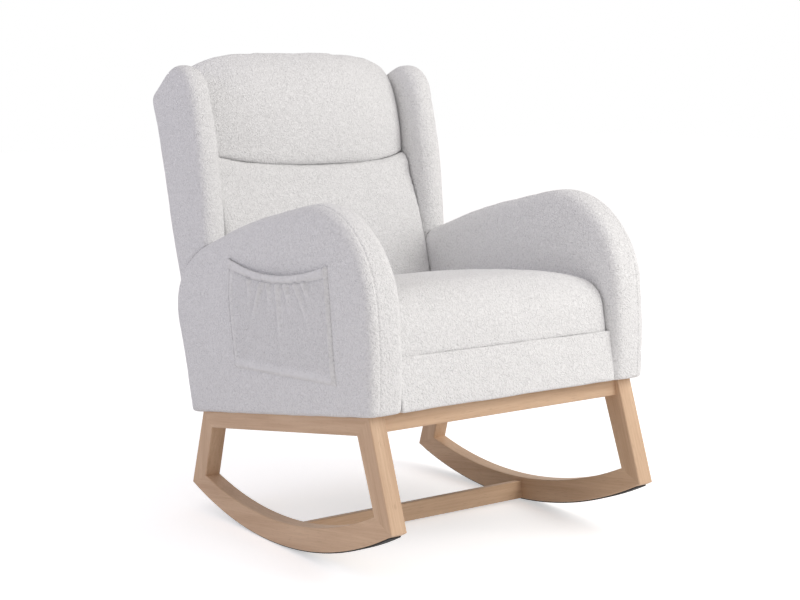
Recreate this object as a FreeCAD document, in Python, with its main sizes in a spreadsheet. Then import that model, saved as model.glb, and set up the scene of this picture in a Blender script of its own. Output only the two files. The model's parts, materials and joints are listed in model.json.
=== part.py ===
import FreeCAD, Part
import math
import os

import Sketcher

# Rocking chair with a pull-out footrest.
# Lengths are in millimetres. Every piece is drawn with the chair held level: +X is to the right as seen from the
# front, -Y is the front, +Z is up, and the origin lies on the floor under the centre of the rockers' arc.
# Left and right in the names are as seen from the front. Each piece's Placement then leans the chair back on
# its rockers to where it comes to rest.

SIZES = {
    # Rest: the lean of the chair, in degrees, where it balances on its rockers
    "rest_lean": 9.15,
    # Side frames of the base
    "rocker_radius": 930,
    "rocker_depth": 47,
    "member_thickness": 35,
    "base_half_width": 320,
    "rail_top": 267,
    "rail_height": 34,
    "rail_front": 275,
    "rail_rear": 358,
    "front_tip": 313,
    "rear_tip": 438,
    "window_front_top": 231,
    "window_rear_top": 325,
    "window_front_foot": 262,
    "window_rear_foot": 375,
    "edge_bevel": 1.5,
    # Grip strips under the rockers
    "grip_thickness": 2.5,
    "grip_width": 27,
    "grip_inset": 16,
    # Cross pieces of the base
    "cross_rail_height": 31,
    "cross_rail_setback": 8,
    "front_cross_depth": 52,
    "rear_cross_depth": 58,
    "rear_cross_setback": 2,
    "stretcher_height": 38,
    "stretcher_thickness": 20,
    "stretcher_offset": 62,
    "stretcher_lift": 6,
    "bracket_leg": 36,
    "bracket_thickness": 2.5,
    "bracket_height": 22,
    # Dowels and bolts
    "dowel_diameter": 8,
    "dowel_length": 30,
    "dowel_spacing": 16,
    "stretcher_dowel_spacing": 20,
    "bolt_diameter": 8,
    "bolt_length": 62,
    "bolt_head_diameter": 15,
    "bolt_head_height": 5,
    "hole_clearance": 0.2,
    "rear_bolt_inset": 13,
    "arm_bolt_first": -170,
    "arm_bolt_pitch": 220,
    # Seat box
    "seat_gap": 0.5,
    "side_rail_thickness": 20,
    "box_front": 262,
    "box_rear": 322,
    "seat_rail_depth": 22,
    "front_seat_rail_height": 22,
    "strap_width": 55,
    "strap_thickness": 1.5,
    "seat_strap_pitch": 95,
    "seat_cross_strap_pitch": 130,
    "dust_cover_thickness": 1,
    # Seat cushion
    "seat_front": 294,
    "seat_nose_depth": 78,
    "seat_nose_rise": 45.5,
    "seat_front_rise": 133.5,
    "seat_rear_rise": 132.5,
    "seat_top_radius": 2000,
    "seat_shoulder": 70,
    "seat_edge_draw": 4,
    "seat_edge_drop": 28,
    # Footrest
    "footrest_panel_half_width": 255,
    "footrest_panel_front": 297,
    "footrest_panel_thickness": 22.5,
    "footrest_front_board_thickness": 12,
    "footrest_front_board_margin": 3,
    "footrest_panel_lift": 3.2,
    "footrest_panel_gap": 1.2,
    "footrest_panel_round": 6,
    "footrest_depth": 374,
    "footrest_floor_lift": 6,
    "footrest_board_thickness": 15,
    "footrest_side_thickness": 12,
    "footrest_side_height": 50,
    "footrest_pad_thickness": 50,
    "footrest_pad_clearance": 6,
    "footrest_pad_crown": 8,
    "footrest_pad_margin": 3,
    "footrest_pad_edge_draw": 7,
    # Slides of the footrest
    "slide_thickness": 12.5,
    "slide_height": 44,
    "slide_wall": 2,
    "slide_play": 0.4,
    "slide_start": 258,
    "channel_length": 430,
    "runner_length": 400,
    # Arms
    "arm_inner": 257,
    "arm_thickness": 77,
    "arm_foot_front": 306,
    "arm_front": 325,
    "arm_front_radius": 190,
    "arm_crest": 664,
    "arm_rear_top": 580,
    "arm_rear_round": 80,
    "arm_edge_round": 32,
    "arm_padding": 28,
    "arm_frame_thickness": 18,
    "arm_window_front": 0,
    "arm_window_rear": 310,
    "arm_window_foot": 330,
    "arm_window_top": 520,
    "frame_clearance": 0.3,
    # Side pockets
    "pocket_rear_top_reach": 168,
    "pocket_rear_top": 586,
    "pocket_front_top_reach": 201,
    "pocket_front_top": 562,
    "pocket_front_foot_reach": 190,
    "pocket_front_foot": 327,
    "pocket_rear_foot_reach": 194,
    "pocket_rear_foot": 364,
    "pocket_mouth_radius": 560,
    "pocket_bulge": 10,
    "pocket_cloth": 2.5,
    "pocket_seam": 8,
    # Back
    "back_foot": 387,
    "back_slope": 0.136,
    "back_gap": 0.5,
    "rear_cover_thickness": 4,
    "post_width": 25,
    "post_depth": 36,
    "post_top": 690,
    "back_rail_height": 40,
    "back_middle_rail_top": 420,
    "back_bottom_rail_top": 150,
    "back_strap_pitch": 92,
    "back_strap_first": 165,
    # Back and head cushions
    "back_cushion_lift": 7,
    "back_cushion_depth": 136,
    "back_cushion_edge_depth": 122,
    "back_cushion_bulge": 16,
    "back_crease_depth": 22,
    "back_crease_height": 40,
    "back_shoulder": 70,
    "back_hollow_half_width": 225,
    "back_hollow_depth": 80,
    "back_hollow_foot": 150,
    "back_hollow_top": 455,
    "head_hollow_half_width": 200,
    "head_hollow_depth": 70,
    "head_hollow_foot": 555,
    "head_hollow_top": 708,
    "back_edge_draw": 12,
    "head_seam": 500,
    "head_seam_edge": 528,
    "head_depth": 160,
    "head_edge_depth": 117,
    "head_top_rise": 69.5,
    "head_edge_top_rise": 37.5,
    "head_top_depth": 108,
    "head_edge_top_depth": 84,
    "head_bulge_height": 632,
    "head_rear_rise": 31.5,
    "head_edge_rear_rise": 11.5,
    "head_tuck_depth": 138,
    "head_edge_tuck_depth": 104,
    # Wings
    "wing_inner": 258,
    "wing_thickness": 57,
    "wing_hidden_foot": 525,
    "wing_front_foot": 322,
    "wing_front_top": 290,
    "wing_front_top_height": 939,
    "wing_top": 1004,
    "wing_top_reach": 366,
    "wing_top_slope": 0.52,
    "wing_rear_round": 24,
    "wing_edge_round": 18,
    "wing_padding": 18,
    "wing_frame_thickness": 15,
    "wing_bolt_first": 430,
    "wing_bolt_pitch": 110,
    "wing_gap": 0.4,
}

SEAT_STRAPS = 5
SEAT_CROSS_STRAPS = 4
BACK_STRAPS = 6
ARM_BOLTS = 3
WING_BOLTS = 3
# Share of the change from middle to edge that a cushion has made at its shoulder
SHOULDER_SHARE = 0.3

doc = FreeCAD.newDocument("RockingChair")
sheet = doc.addObject("Spreadsheet::Sheet", "Sizes")
for row, (alias, number) in enumerate(SIZES.items(), 1):
    sheet.set(f"A{row}", str(number))
    sheet.setAlias(f"A{row}", alias)
doc.recompute()

pieces = []


# A length that knows both its number and its formula in the sheet
class Size:
    def __init__(self, number, formula):
        self.number = number
        self.formula = formula

    def join(self, sign, other, number):
        return Size(number, f"({self.formula} {sign} {other.formula})")

    def __add__(self, other):
        other = as_size(other)
        return self.join("+", other, self.number + other.number)

    def __sub__(self, other):
        other = as_size(other)
        return self.join("-", other, self.number - other.number)

    def __mul__(self, other):
        other = as_size(other)
        return self.join("*", other, self.number * other.number)

    def __truediv__(self, other):
        other = as_size(other)
        return self.join("/", other, self.number / other.number)

    def __neg__(self):
        return Size(-self.number, f"(-{self.formula})")

    def root(self):
        return Size(math.sqrt(self.number), f"sqrt({self.formula})")


def as_size(item):
    return item if isinstance(item, Size) else Size(float(item), repr(float(item)))


def size(alias):
    return Size(float(SIZES[alias]), f"Sizes.{alias}")


def vector(x, y, z):
    return FreeCAD.Vector(as_size(x).number, as_size(y).number, as_size(z).number)


# Radius of an arc that starts square to its chord's run and rises over it: rise is along the start's normal
def tangent_radius(run, rise):
    return (run * run + rise * rise) / (rise * 2)


# Sketches: an outline is a list of corners (across, up) or (across, up, radius).
# A radius makes the edge to the next corner an arc, turning left if it is positive and right if negative.
def turns_right(corner):
    return len(corner) == 3 and corner[2].number < 0


def start_point(corner):
    return 2 if turns_right(corner) else 1


def end_point(corner):
    return 1 if turns_right(corner) else 2


def arc_edge(start, end, radius):
    chord = end - start
    rise = math.sqrt(radius ** 2 - (chord.Length / 2) ** 2)
    to_left = FreeCAD.Vector(-chord.y, chord.x, 0).normalize()
    centre = (start + end) * 0.5 + to_left * math.copysign(rise, radius)
    first, last = (start, end) if radius > 0 else (end, start)
    angles = [math.atan2(point.y - centre.y, point.x - centre.x) for point in (first, last)]
    circle = Part.Circle(centre, FreeCAD.Vector(0, 0, 1), abs(radius))
    return Part.ArcOfCircle(circle, angles[0], angles[1])


def bind_constraint(sketch, kind, value, *places):
    index = sketch.addConstraint(Sketcher.Constraint(kind, *places, value.number))
    sketch.setExpression(f"Constraints[{index}]", value.formula)


def outline(body, role, offset, corners):
    corners = [tuple(as_size(value) for value in corner) for corner in corners]
    sketch = body.newObject("Sketcher::SketchObject", f"{body.Label}_outline")
    plane = next(item for item in body.Origin.OriginFeatures if item.Role == role)
    sketch.AttachmentSupport = [(plane, "")]
    sketch.MapMode = "FlatFace"
    sketch.setExpression("AttachmentOffset.Base.z", as_size(offset).formula)
    for index, corner in enumerate(corners):
        start = vector(corner[0], corner[1], 0)
        following = corners[(index + 1) % len(corners)]
        end = vector(following[0], following[1], 0)
        edge = Part.LineSegment(start, end) if len(corner) == 2 else arc_edge(start, end, corner[2].number)
        sketch.addGeometry(edge, False)
    for index, corner in enumerate(corners):
        before = (index - 1) % len(corners)
        meeting = (before, end_point(corners[before]), index, start_point(corner))
        sketch.addConstraint(Sketcher.Constraint("Coincident", *meeting))
    for index, corner in enumerate(corners):
        bind_constraint(sketch, "DistanceX", corner[0], -1, 1, index, start_point(corner))
        bind_constraint(sketch, "DistanceY", corner[1], -1, 1, index, start_point(corner))
        if len(corner) == 3:
            radius = -corner[2] if turns_right(corner) else corner[2]
            bind_constraint(sketch, "Radius", radius, index)
    return sketch


def rectangle(left, right, low, high):
    return [(left, low), (right, low), (right, high), (left, high)]


def new_body(label):
    body = doc.addObject("PartDesign::Body", label)
    body.Label = label
    return body


# A flat piece: an outline on one of the main planes, at an offset along its normal, given a thickness
def slab(label, role, offset, corners, thickness):
    body = new_body(label)
    pad = body.newObject("PartDesign::Pad", f"{label}_pad")
    pad.Profile = outline(body, role, offset, corners)
    pad.setExpression("Length", as_size(thickness).formula)
    doc.recompute()
    return body


# A slot cut into a body along the sketch's normal
def slot(body, role, offset, corners, depth):
    before = body.Shape.Volume
    pocket = body.newObject("PartDesign::Pocket", f"{body.Label}_slot")
    pocket.Profile = outline(body, role, offset, corners)
    pocket.Reversed = True
    pocket.setExpression("Length", as_size(depth).formula)
    doc.recompute()
    if not body.Shape.Volume < before:
        raise RuntimeError(f"{body.Label}: the slot cuts nothing")


# A soft form: outlines side by side along X, joined smoothly
def lofted(label, sections):
    body = new_body(label)
    sketches = [outline(body, "YZ_Plane", place, corners) for place, corners in sections]
    loft = body.newObject("PartDesign::AdditiveLoft", f"{label}_loft")
    loft.Profile = sketches[0]
    loft.Sections = sketches[1:]
    doc.recompute()
    return body


def dress_edges(body, kind, measure, length, wanted):
    tip = body.Tip
    names = [f"Edge{index}" for index, edge in enumerate(tip.Shape.Edges, 1) if wanted(edge)]
    if not names:
        raise RuntimeError(f"{body.Label}: no edge to dress")
    dressing = body.newObject(kind, f"{body.Label}_edges")
    dressing.Base = (tip, names)
    dressing.setExpression(measure, as_size(length).formula)
    doc.recompute()


def round_edges(body, radius, wanted):
    dress_edges(body, "PartDesign::Fillet", "Radius", radius, wanted)


def bevel_edges(body, width, wanted):
    dress_edges(body, "PartDesign::Chamfer", "Size", width, wanted)


def lies_at(edge, axis, place):
    near = 0.001
    return all(abs(getattr(vertex.Point, axis) - place.number) < near for vertex in edge.Vertexes)


def middle(edge):
    return edge.valueAt((edge.FirstParameter + edge.LastParameter) / 2)


def cylinder(label, diameter, length, centre, direction):
    rod = doc.addObject("Part::Cylinder", label)
    rod.setExpression("Radius", (as_size(diameter) / 2).formula)
    rod.setExpression("Height", as_size(length).formula)
    turn = FreeCAD.Rotation(FreeCAD.Vector(0, 0, 1), direction)
    start = centre - direction * (as_size(length).number / 2)
    rod.Placement = FreeCAD.Placement(start, turn)
    return rod


def group(label, members):
    bundle = doc.addObject("Part::Compound", label)
    bundle.Label = label
    bundle.Links = members
    return bundle


def joined(label, members):
    fused = doc.addObject("Part::MultiFuse", label)
    fused.Shapes = members
    return fused


def cut(label, blank, tool):
    blank.Label = f"{label}_blank"
    result = doc.addObject("Part::Cut", label)
    result.Base = blank
    result.Tool = tool
    return result


# A finished sub-part: its label names its file, and its frame places it on the chair
def finish(label, item, frame):
    item.Label = label
    item.Placement = frame
    pieces.append(item)


def side_name(side):
    return "right" if side > 0 else "left"


# Start of a slab on one side of the chair, whose near face is that far from the middle plane
def side_start(side, near, thickness):
    return as_size(near) if side > 0 else -(as_size(near) + thickness)


# Frames: the lean of the whole chair about the rockers' centre, and the rake of the back within it
rocker_centre = FreeCAD.Vector(0, 0, SIZES["rocker_radius"])
lean_turn = FreeCAD.Rotation(FreeCAD.Vector(1, 0, 0), -SIZES["rest_lean"])
leaned = FreeCAD.Placement(FreeCAD.Vector(0, 0, 0), lean_turn, rocker_centre)
rake_turn = FreeCAD.Rotation(FreeCAD.Vector(1, 0, 0), -math.degrees(math.atan(SIZES["back_slope"])))
raked = FreeCAD.Placement(FreeCAD.Vector(0, SIZES["back_foot"], SIZES["rail_top"]), rake_turn)
leaned_back = leaned.multiply(raked)

# Corners of a side frame, (reach, height), shared by the four members that meet in its mitres
wood_radius = size("rocker_radius") - size("grip_thickness")


def rocker_underside(reach):
    return size("rocker_radius") - (wood_radius * wood_radius - reach * reach).root()


def rocker_top(reach):
    return rocker_underside(reach) + size("rocker_depth")


rail_foot = size("rail_top") - size("rail_height")
base_inner = size("base_half_width") - size("member_thickness")
front_top = (-size("rail_front"), size("rail_top"))
rear_top = (size("rail_rear"), size("rail_top"))
front_tip = (-size("front_tip"), rocker_underside(size("front_tip")))
rear_tip = (size("rear_tip"), rocker_underside(size("rear_tip")))
window_front_top = (-size("window_front_top"), rail_foot)
window_rear_top = (size("window_rear_top"), rail_foot)
window_front_foot = (-size("window_front_foot"), rocker_top(size("window_front_foot")))
window_rear_foot = (size("window_rear_foot"), rocker_top(size("window_rear_foot")))
mitres = [
    (front_top, window_front_top),
    (rear_top, window_rear_top),
    (front_tip, window_front_foot),
    (rear_tip, window_rear_foot),
]


# Mitre dowels: two in each mitre, square to it, side by side through the member's thickness
def mitre_rods(side, label, diameter, length):
    rods = []
    for outer, inner in mitres:
        outer_point = vector(0, *outer)
        inner_point = vector(0, *inner)
        run = (outer_point - inner_point).normalize()
        direction = FreeCAD.Vector(0, -run.z, run.y)
        for offset in (-1, 1):
            across = base_inner + size("member_thickness") / 2 + size("dowel_spacing") * (offset / 2)
            centre = (outer_point + inner_point) * 0.5 + vector(across * side, 0, 0)
            rods.append(cylinder(label, diameter, length, centre, direction))
    return rods


# Stretcher dowels: two in each end of the stretcher, one above the other
def stretcher_rods(side, label, diameter, length):
    rods = []
    for offset in (-1, 1):
        along = size("stretcher_offset") + size("stretcher_thickness") / 2
        height = size("stretcher_lift") + size("stretcher_height") / 2
        height = height + size("stretcher_dowel_spacing") * (offset / 2)
        centre = vector(base_inner * side, along, height)
        rods.append(cylinder(label, diameter, length, centre, FreeCAD.Vector(1, 0, 0)))
    return rods


# A bolt that stands head down: its head's underside is at a given height
def bolt(label, x, y, head_foot, extra):
    head_height = size("bolt_head_height")
    up = FreeCAD.Vector(0, 0, 1)
    head_centre = vector(x, y, head_foot + head_height / 2)
    shank_centre = vector(x, y, head_foot + size("bolt_length") / 2)
    head = cylinder(f"{label}_head", size("bolt_head_diameter") + extra, head_height + extra, head_centre, up)
    shank = cylinder(f"{label}_shank", size("bolt_diameter") + extra, size("bolt_length") + extra, shank_centre, up)
    return joined(label, [head, shank])


clearance = size("hole_clearance") * 2
dowel_hole = size("dowel_diameter") + clearance
dowel_hole_length = size("dowel_length") + clearance


# Base: side frames
def side_member(label, side, corners, loose_edges, tool):
    thickness = size("member_thickness")
    blank = slab(label, "YZ_Plane", side_start(side, base_inner, thickness), corners, thickness)

    def is_long(edge):
        if any(abs(vertex.Point.x - edge.Vertexes[0].Point.x) > 0.001 for vertex in edge.Vertexes):
            return False
        ends = sorted((vertex.Point.y, vertex.Point.z) for vertex in edge.Vertexes)
        for first, second in loose_edges:
            pair = sorted((place[0].number, place[1].number) for place in (first, second))
            if all(math.dist(end, mark) < 0.01 for end, mark in zip(ends, pair)):
                return True
        return False

    bevel_edges(blank, size("edge_bevel"), is_long)
    finish(label, cut(label, blank, tool), leaned)


def side_frame(side):
    name = side_name(side)
    mitre_holes = joined(f"{name}_mitre_holes", mitre_rods(side, "mitre_hole", dowel_hole, dowel_hole_length))
    rocker_holes = mitre_rods(side, "rocker_mitre_hole", dowel_hole, dowel_hole_length)
    rocker_holes += stretcher_rods(side, "stretcher_hole", dowel_hole, dowel_hole_length)
    rail_holes = mitre_rods(side, "rail_mitre_hole", dowel_hole, dowel_hole_length)
    rail_holes += [arm_bolt(side, index, clearance) for index in range(ARM_BOLTS)]
    rocker = [
        (*window_front_foot, wood_radius),
        window_rear_foot,
        (*rear_tip, -wood_radius),
        front_tip,
    ]
    rocker_edges = [(window_front_foot, window_rear_foot), (rear_tip, front_tip)]
    front_leg = [front_top, front_tip, window_front_foot, window_front_top]
    front_edges = [(front_top, front_tip), (window_front_foot, window_front_top)]
    rear_leg = [rear_top, window_rear_top, window_rear_foot, rear_tip]
    rear_edges = [(rear_top, rear_tip), (window_rear_foot, window_rear_top)]
    rail = [front_top, window_front_top, window_rear_top, rear_top]
    rail_edges = [(window_front_top, window_rear_top)]
    side_member(f"{name}_rocker", side, rocker, rocker_edges, joined(f"{name}_rocker_holes", rocker_holes))
    side_member(f"{name}_front_leg", side, front_leg, front_edges, mitre_holes)
    side_member(f"{name}_rear_leg", side, rear_leg, rear_edges, mitre_holes)
    side_member(f"{name}_top_rail", side, rail, rail_edges, joined(f"{name}_rail_holes", rail_holes))


def grip_strip(side):
    label = f"{side_name(side)}_grip_strip"
    radius = size("rocker_radius")
    front = size("front_tip") - size("grip_inset")
    rear = size("rear_tip") - size("grip_inset")

    def underside(reach):
        return radius - (radius * radius - reach * reach).root()

    corners = [
        (-front, underside(front), radius),
        (rear, underside(rear)),
        (rear, rocker_underside(rear), -wood_radius),
        (-front, rocker_underside(front)),
    ]
    margin = (size("member_thickness") - size("grip_width")) / 2
    start = side_start(side, base_inner + margin, size("grip_width"))
    finish(label, slab(label, "YZ_Plane", start, corners, size("grip_width")), leaned)


# Base: cross pieces
front_cross_face = -(size("rail_front") - size("cross_rail_setback"))
front_cross_back = front_cross_face + size("front_cross_depth")
rear_cross_back = size("rail_rear") - size("rear_cross_setback")
rear_cross_face = rear_cross_back - size("rear_cross_depth")
cross_rail_foot = size("rail_top") - size("cross_rail_height")


def cross_rail(label, face, back, bolt_places):
    corners = rectangle(face, back, cross_rail_foot, size("rail_top"))
    blank = slab(label, "YZ_Plane", -base_inner, corners, base_inner * 2)
    half_way = cross_rail_foot + size("cross_rail_height") / 2

    def is_lower_long(edge):
        point = middle(edge)
        return abs(point.x) < 1 and point.z < half_way.number

    bevel_edges(blank, size("edge_bevel"), is_lower_long)
    holes = [seat_bolt(x, y, clearance) for x, y in bolt_places]
    finish(label, cut(label, blank, joined(f"{label}_holes", holes)), leaned)


def rocker_stretcher():
    label = "rocker_stretcher"
    face = size("stretcher_offset")
    foot = size("stretcher_lift")
    corners = rectangle(face, face + size("stretcher_thickness"), foot, foot + size("stretcher_height"))
    blank = slab(label, "YZ_Plane", -base_inner, corners, base_inner * 2)

    def is_long(edge):
        return abs(middle(edge).x) < 1

    bevel_edges(blank, size("edge_bevel"), is_long)
    holes = []
    for side in (-1, 1):
        holes += stretcher_rods(side, "stretcher_end_hole", dowel_hole, dowel_hole_length)
    finish(label, cut(label, blank, joined("stretcher_end_holes", holes)), leaned)


def corner_brackets():
    leg = size("bracket_leg")
    wall = size("bracket_thickness")
    foot = cross_rail_foot + (size("cross_rail_height") - size("bracket_height")) / 2
    brackets = []
    for side in (-1, 1):
        for face, run in ((front_cross_back, 1), (rear_cross_face, -1)):
            corner = base_inner * side
            corners = [
                (corner, face),
                (corner - leg * side, face),
                (corner - leg * side, face + wall * run),
                (corner - wall * side, face + wall * run),
                (corner - wall * side, face + leg * run),
                (corner, face + leg * run),
            ]
            brackets.append(slab("corner_bracket", "XY_Plane", foot, corners, size("bracket_height")))
    finish("corner_brackets", group("corner_brackets", brackets), leaned)


def dowels():
    diameter = size("dowel_diameter")
    length = size("dowel_length")
    mitre = []
    stretcher = []
    for side in (-1, 1):
        mitre += mitre_rods(side, "mitre_dowel", diameter, length)
        stretcher += stretcher_rods(side, "stretcher_dowel", diameter, length)
    finish("mitre_dowels", group("mitre_dowels", mitre), leaned)
    finish("stretcher_dowels", group("stretcher_dowels", stretcher), leaned)


# Bolts of the seat box and the arms
box_half = size("arm_inner") - size("seat_gap")
side_rail_inner = box_half - size("side_rail_thickness")
side_rail_middle = box_half - size("side_rail_thickness") / 2
post_outer = size("arm_inner") - size("back_gap")
post_middle = post_outer - size("post_width") / 2
rear_bolt_row = rear_cross_back - size("rear_bolt_inset")
front_bolt_row = front_cross_face + size("front_cross_depth") / 2
front_bolts = [(side_rail_middle * side, front_bolt_row) for side in (-1, 1)]
rear_bolts = [(post_middle * side, rear_bolt_row) for side in (-1, 1)]


def seat_bolt(x, y, extra):
    return bolt("seat_bolt", x, y, cross_rail_foot, extra)


def arm_bolt(side, index, extra):
    across = base_inner + size("member_thickness") / 2
    along = size("arm_bolt_first") + size("arm_bolt_pitch") * index
    return bolt("arm_bolt", across * side, along, rail_foot, extra)


def bolts():
    seat = [seat_bolt(x, y, 0) for x, y in front_bolts + rear_bolts]
    arm = [arm_bolt(side, index, 0) for side in (-1, 1) for index in range(ARM_BOLTS)]
    finish("seat_bolts", group("seat_bolts", seat), leaned)
    finish("arm_bolts", group("arm_bolts", arm), leaned)


# Seat box: as high as the footrest that slides under it needs
footrest_floor = size("rail_top") + size("footrest_floor_lift")
board_top = footrest_floor + size("footrest_board_thickness")
pad_top = board_top + size("footrest_pad_thickness")
front_seat_rail_foot = pad_top + size("footrest_pad_clearance")
deck_height = front_seat_rail_foot + size("front_seat_rail_height")


def seat_side_rail(side):
    label = f"{side_name(side)}_seat_side_rail"
    corners = rectangle(-size("box_front"), size("box_rear"), size("rail_top"), deck_height)
    thickness = size("side_rail_thickness")
    blank = slab(label, "YZ_Plane", side_start(side, side_rail_inner, thickness), corners, thickness)
    hole = seat_bolt(side_rail_middle * side, front_bolt_row, clearance)
    finish(label, cut(label, blank, hole), leaned)


def seat_rail(label, face, foot):
    corners = rectangle(face, face + size("seat_rail_depth"), foot, deck_height)
    finish(label, slab(label, "YZ_Plane", -side_rail_inner, corners, side_rail_inner * 2), leaned)


def strap(label, left, right, low, high, foot):
    return slab(label, "XY_Plane", foot, rectangle(left, right, low, high), size("strap_thickness"))


def seat_webbing():
    half = size("strap_width") / 2
    straps = []
    for index in range(SEAT_STRAPS):
        across = size("seat_strap_pitch") * (index - (SEAT_STRAPS - 1) / 2)
        reach = (-size("box_front"), size("box_rear"))
        straps.append(strap("seat_strap", across - half, across + half, *reach, deck_height))
    for index in range(SEAT_CROSS_STRAPS):
        along = size("seat_cross_strap_pitch") * (index - (SEAT_CROSS_STRAPS - 1) / 2)
        foot = deck_height + size("strap_thickness")
        straps.append(strap("seat_cross_strap", -box_half, box_half, along - half, along + half, foot))
    finish("seat_webbing", group("seat_webbing", straps), leaned)


def dust_cover():
    label = "dust_cover"
    corners = rectangle(-box_half, box_half, front_cross_back, rear_cross_face)
    thickness = size("dust_cover_thickness")
    finish(label, slab(label, "XY_Plane", size("rail_top") - thickness, corners, thickness), leaned)


# How far back the chair's raked rear face, or a face parallel to it and that deep inside, lies at a height
rake_length = (size("back_slope") * size("back_slope") + 1).root()


def rear_reach(height, depth):
    return size("back_foot") + (height - size("rail_top")) * size("back_slope") - depth * rake_length


# Cushions change from their middle to their edges: places across one, with each outline's share of the change
def across_sections(half, shoulder, section):
    return [
        (-half, section(1)),
        (-(half - shoulder), section(SHOULDER_SHARE)),
        (as_size(0), section(0)),
        (half - shoulder, section(SHOULDER_SHARE)),
        (half, section(1)),
    ]


def between(middle_alias, edge_alias, share):
    return size(middle_alias) + (size(edge_alias) - size(middle_alias)) * share


# Seat cushion: a waterfall front, and a crowned top that falls towards the arms
cushion_foot = deck_height + size("strap_thickness") * 2 + size("seat_gap")
back_reach = size("back_cushion_depth") + size("back_cushion_bulge") + size("seat_gap")


def seat_section(share):
    drop = size("seat_edge_drop") * share
    front = -size("seat_front") + size("seat_edge_draw") * share
    nose_height = cushion_foot + size("seat_nose_rise")
    top_front = cushion_foot + size("seat_front_rise") - drop
    top_rear = cushion_foot + size("seat_rear_rise") - drop
    nose_rise = top_front - nose_height
    nose_depth = size("seat_nose_depth") * nose_rise / (size("seat_front_rise") - size("seat_nose_rise"))
    return [
        (front, cushion_foot),
        (rear_reach(cushion_foot, back_reach), cushion_foot),
        (rear_reach(top_rear, back_reach), top_rear, size("seat_top_radius")),
        (front + nose_depth, top_front, tangent_radius(nose_rise, nose_depth)),
        (front, nose_height),
    ]


def seat_cushion():
    label = "seat_cushion"
    sections = across_sections(box_half, size("seat_shoulder"), seat_section)
    finish(label, lofted(label, sections), leaned)


# Footrest: a padded tray behind the upholstered band under the seat
panel_back = -size("footrest_panel_front") + size("footrest_panel_thickness")
panel_foot = size("rail_top") + size("footrest_panel_lift")
panel_top = cushion_foot - size("footrest_panel_gap")
tray_front = panel_back + size("footrest_front_board_thickness")
tray_rear = tray_front + size("footrest_depth")
tray_half = side_rail_inner - size("slide_thickness")
tray_inner = tray_half - size("footrest_side_thickness")
slide_foot = footrest_floor + (size("footrest_side_height") - size("slide_height")) / 2


def footrest_front_panel():
    label = "footrest_front_panel"
    half = size("footrest_panel_half_width")
    corners = rectangle(-size("footrest_panel_front"), panel_back, panel_foot, panel_top)
    body = slab(label, "YZ_Plane", -half, corners, half * 2)
    front = -size("footrest_panel_front")

    def is_front(edge):
        return lies_at(edge, "y", front)

    round_edges(body, size("footrest_panel_round"), is_front)
    finish(label, body, leaned)


def footrest_front_board():
    label = "footrest_front_board"
    margin = size("footrest_front_board_margin")
    half = size("footrest_panel_half_width") - margin
    foot = panel_foot + margin
    top = panel_top - margin
    corners = rectangle(panel_back, tray_front, foot, top)
    finish(label, slab(label, "YZ_Plane", -half, corners, half * 2), leaned)


def footrest_board():
    label = "footrest_board"
    corners = rectangle(tray_front, tray_rear, footrest_floor, board_top)
    finish(label, slab(label, "YZ_Plane", -tray_inner, corners, tray_inner * 2), leaned)


def footrest_side(side):
    label = f"{side_name(side)}_footrest_side"
    top = footrest_floor + size("footrest_side_height")
    corners = rectangle(tray_front, tray_rear, footrest_floor, top)
    thickness = size("footrest_side_thickness")
    finish(label, slab(label, "YZ_Plane", side_start(side, tray_inner, thickness), corners, thickness), leaned)


def footrest_pad():
    label = "footrest_pad"
    margin = size("footrest_pad_margin")
    crown = size("footrest_pad_crown")
    front = tray_front + margin
    rear = tray_rear - margin

    def section(share):
        draw = size("footrest_pad_edge_draw") * share
        top = pad_top - crown - draw
        run = (rear - front) / 2
        return [
            (front + draw, board_top),
            (rear - draw, board_top),
            (rear - draw, top, tangent_radius(run, crown)),
            (front + draw, top),
        ]

    half = tray_inner - margin
    sections = across_sections(half, size("seat_shoulder"), section)
    finish(label, lofted(label, sections), leaned)


# A C shaped rail, seen along its length: its back is flat on what it is screwed to
def c_rail(label, back, opening, foot, height, start, length):
    wall = size("slide_wall")
    way = 1 if opening.number > back.number else -1
    top = foot + height
    corners = [
        (back, foot),
        (opening, foot),
        (opening, foot + wall),
        (back + wall * way, foot + wall),
        (back + wall * way, top - wall),
        (opening, top - wall),
        (opening, top),
        (back, top),
    ]
    finish(label, slab(label, "XZ_Plane", -(start + length), corners, length), leaned)


def slides(side):
    name = side_name(side)
    play = size("slide_play")
    wall = size("slide_wall")
    start = -size("slide_start")
    channel_back = side_rail_inner * side
    runner_back = tray_half * side
    channel_opening = (tray_half + play) * side
    runner_opening = (side_rail_inner - wall - play) * side
    runner_foot = slide_foot + wall + play
    runner_height = size("slide_height") - (wall + play) * 2
    height = size("slide_height")
    length = size("channel_length")
    c_rail(f"{name}_slide_channel", channel_back, channel_opening, slide_foot, height, start, length)
    length = size("runner_length")
    c_rail(f"{name}_slide_runner", runner_back, runner_opening, runner_foot, runner_height, start, length)


# Arms: a panel under thick padding, whose outline follows it all round
def arm_outline(padding, foot):
    padding = as_size(padding)
    bend_height = size("arm_crest") - size("arm_front_radius")
    bend_reach = -size("arm_front") + padding
    foot_reach = -size("arm_foot_front") + padding
    crest_reach = -size("arm_front") + size("arm_front_radius")
    crest = size("arm_crest") - padding
    rear_height = size("arm_rear_top") - padding
    rear = rear_reach(rear_height, padding)
    shin_radius = tangent_radius(bend_height - foot, foot_reach - bend_reach)
    top_radius = tangent_radius(rear - crest_reach, crest - rear_height)
    return [
        (foot_reach, foot),
        (rear_reach(foot, padding), foot),
        (rear, rear_height, top_radius),
        (crest_reach, crest, size("arm_front_radius") - padding),
        (bend_reach, bend_height, shin_radius),
    ]


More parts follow.
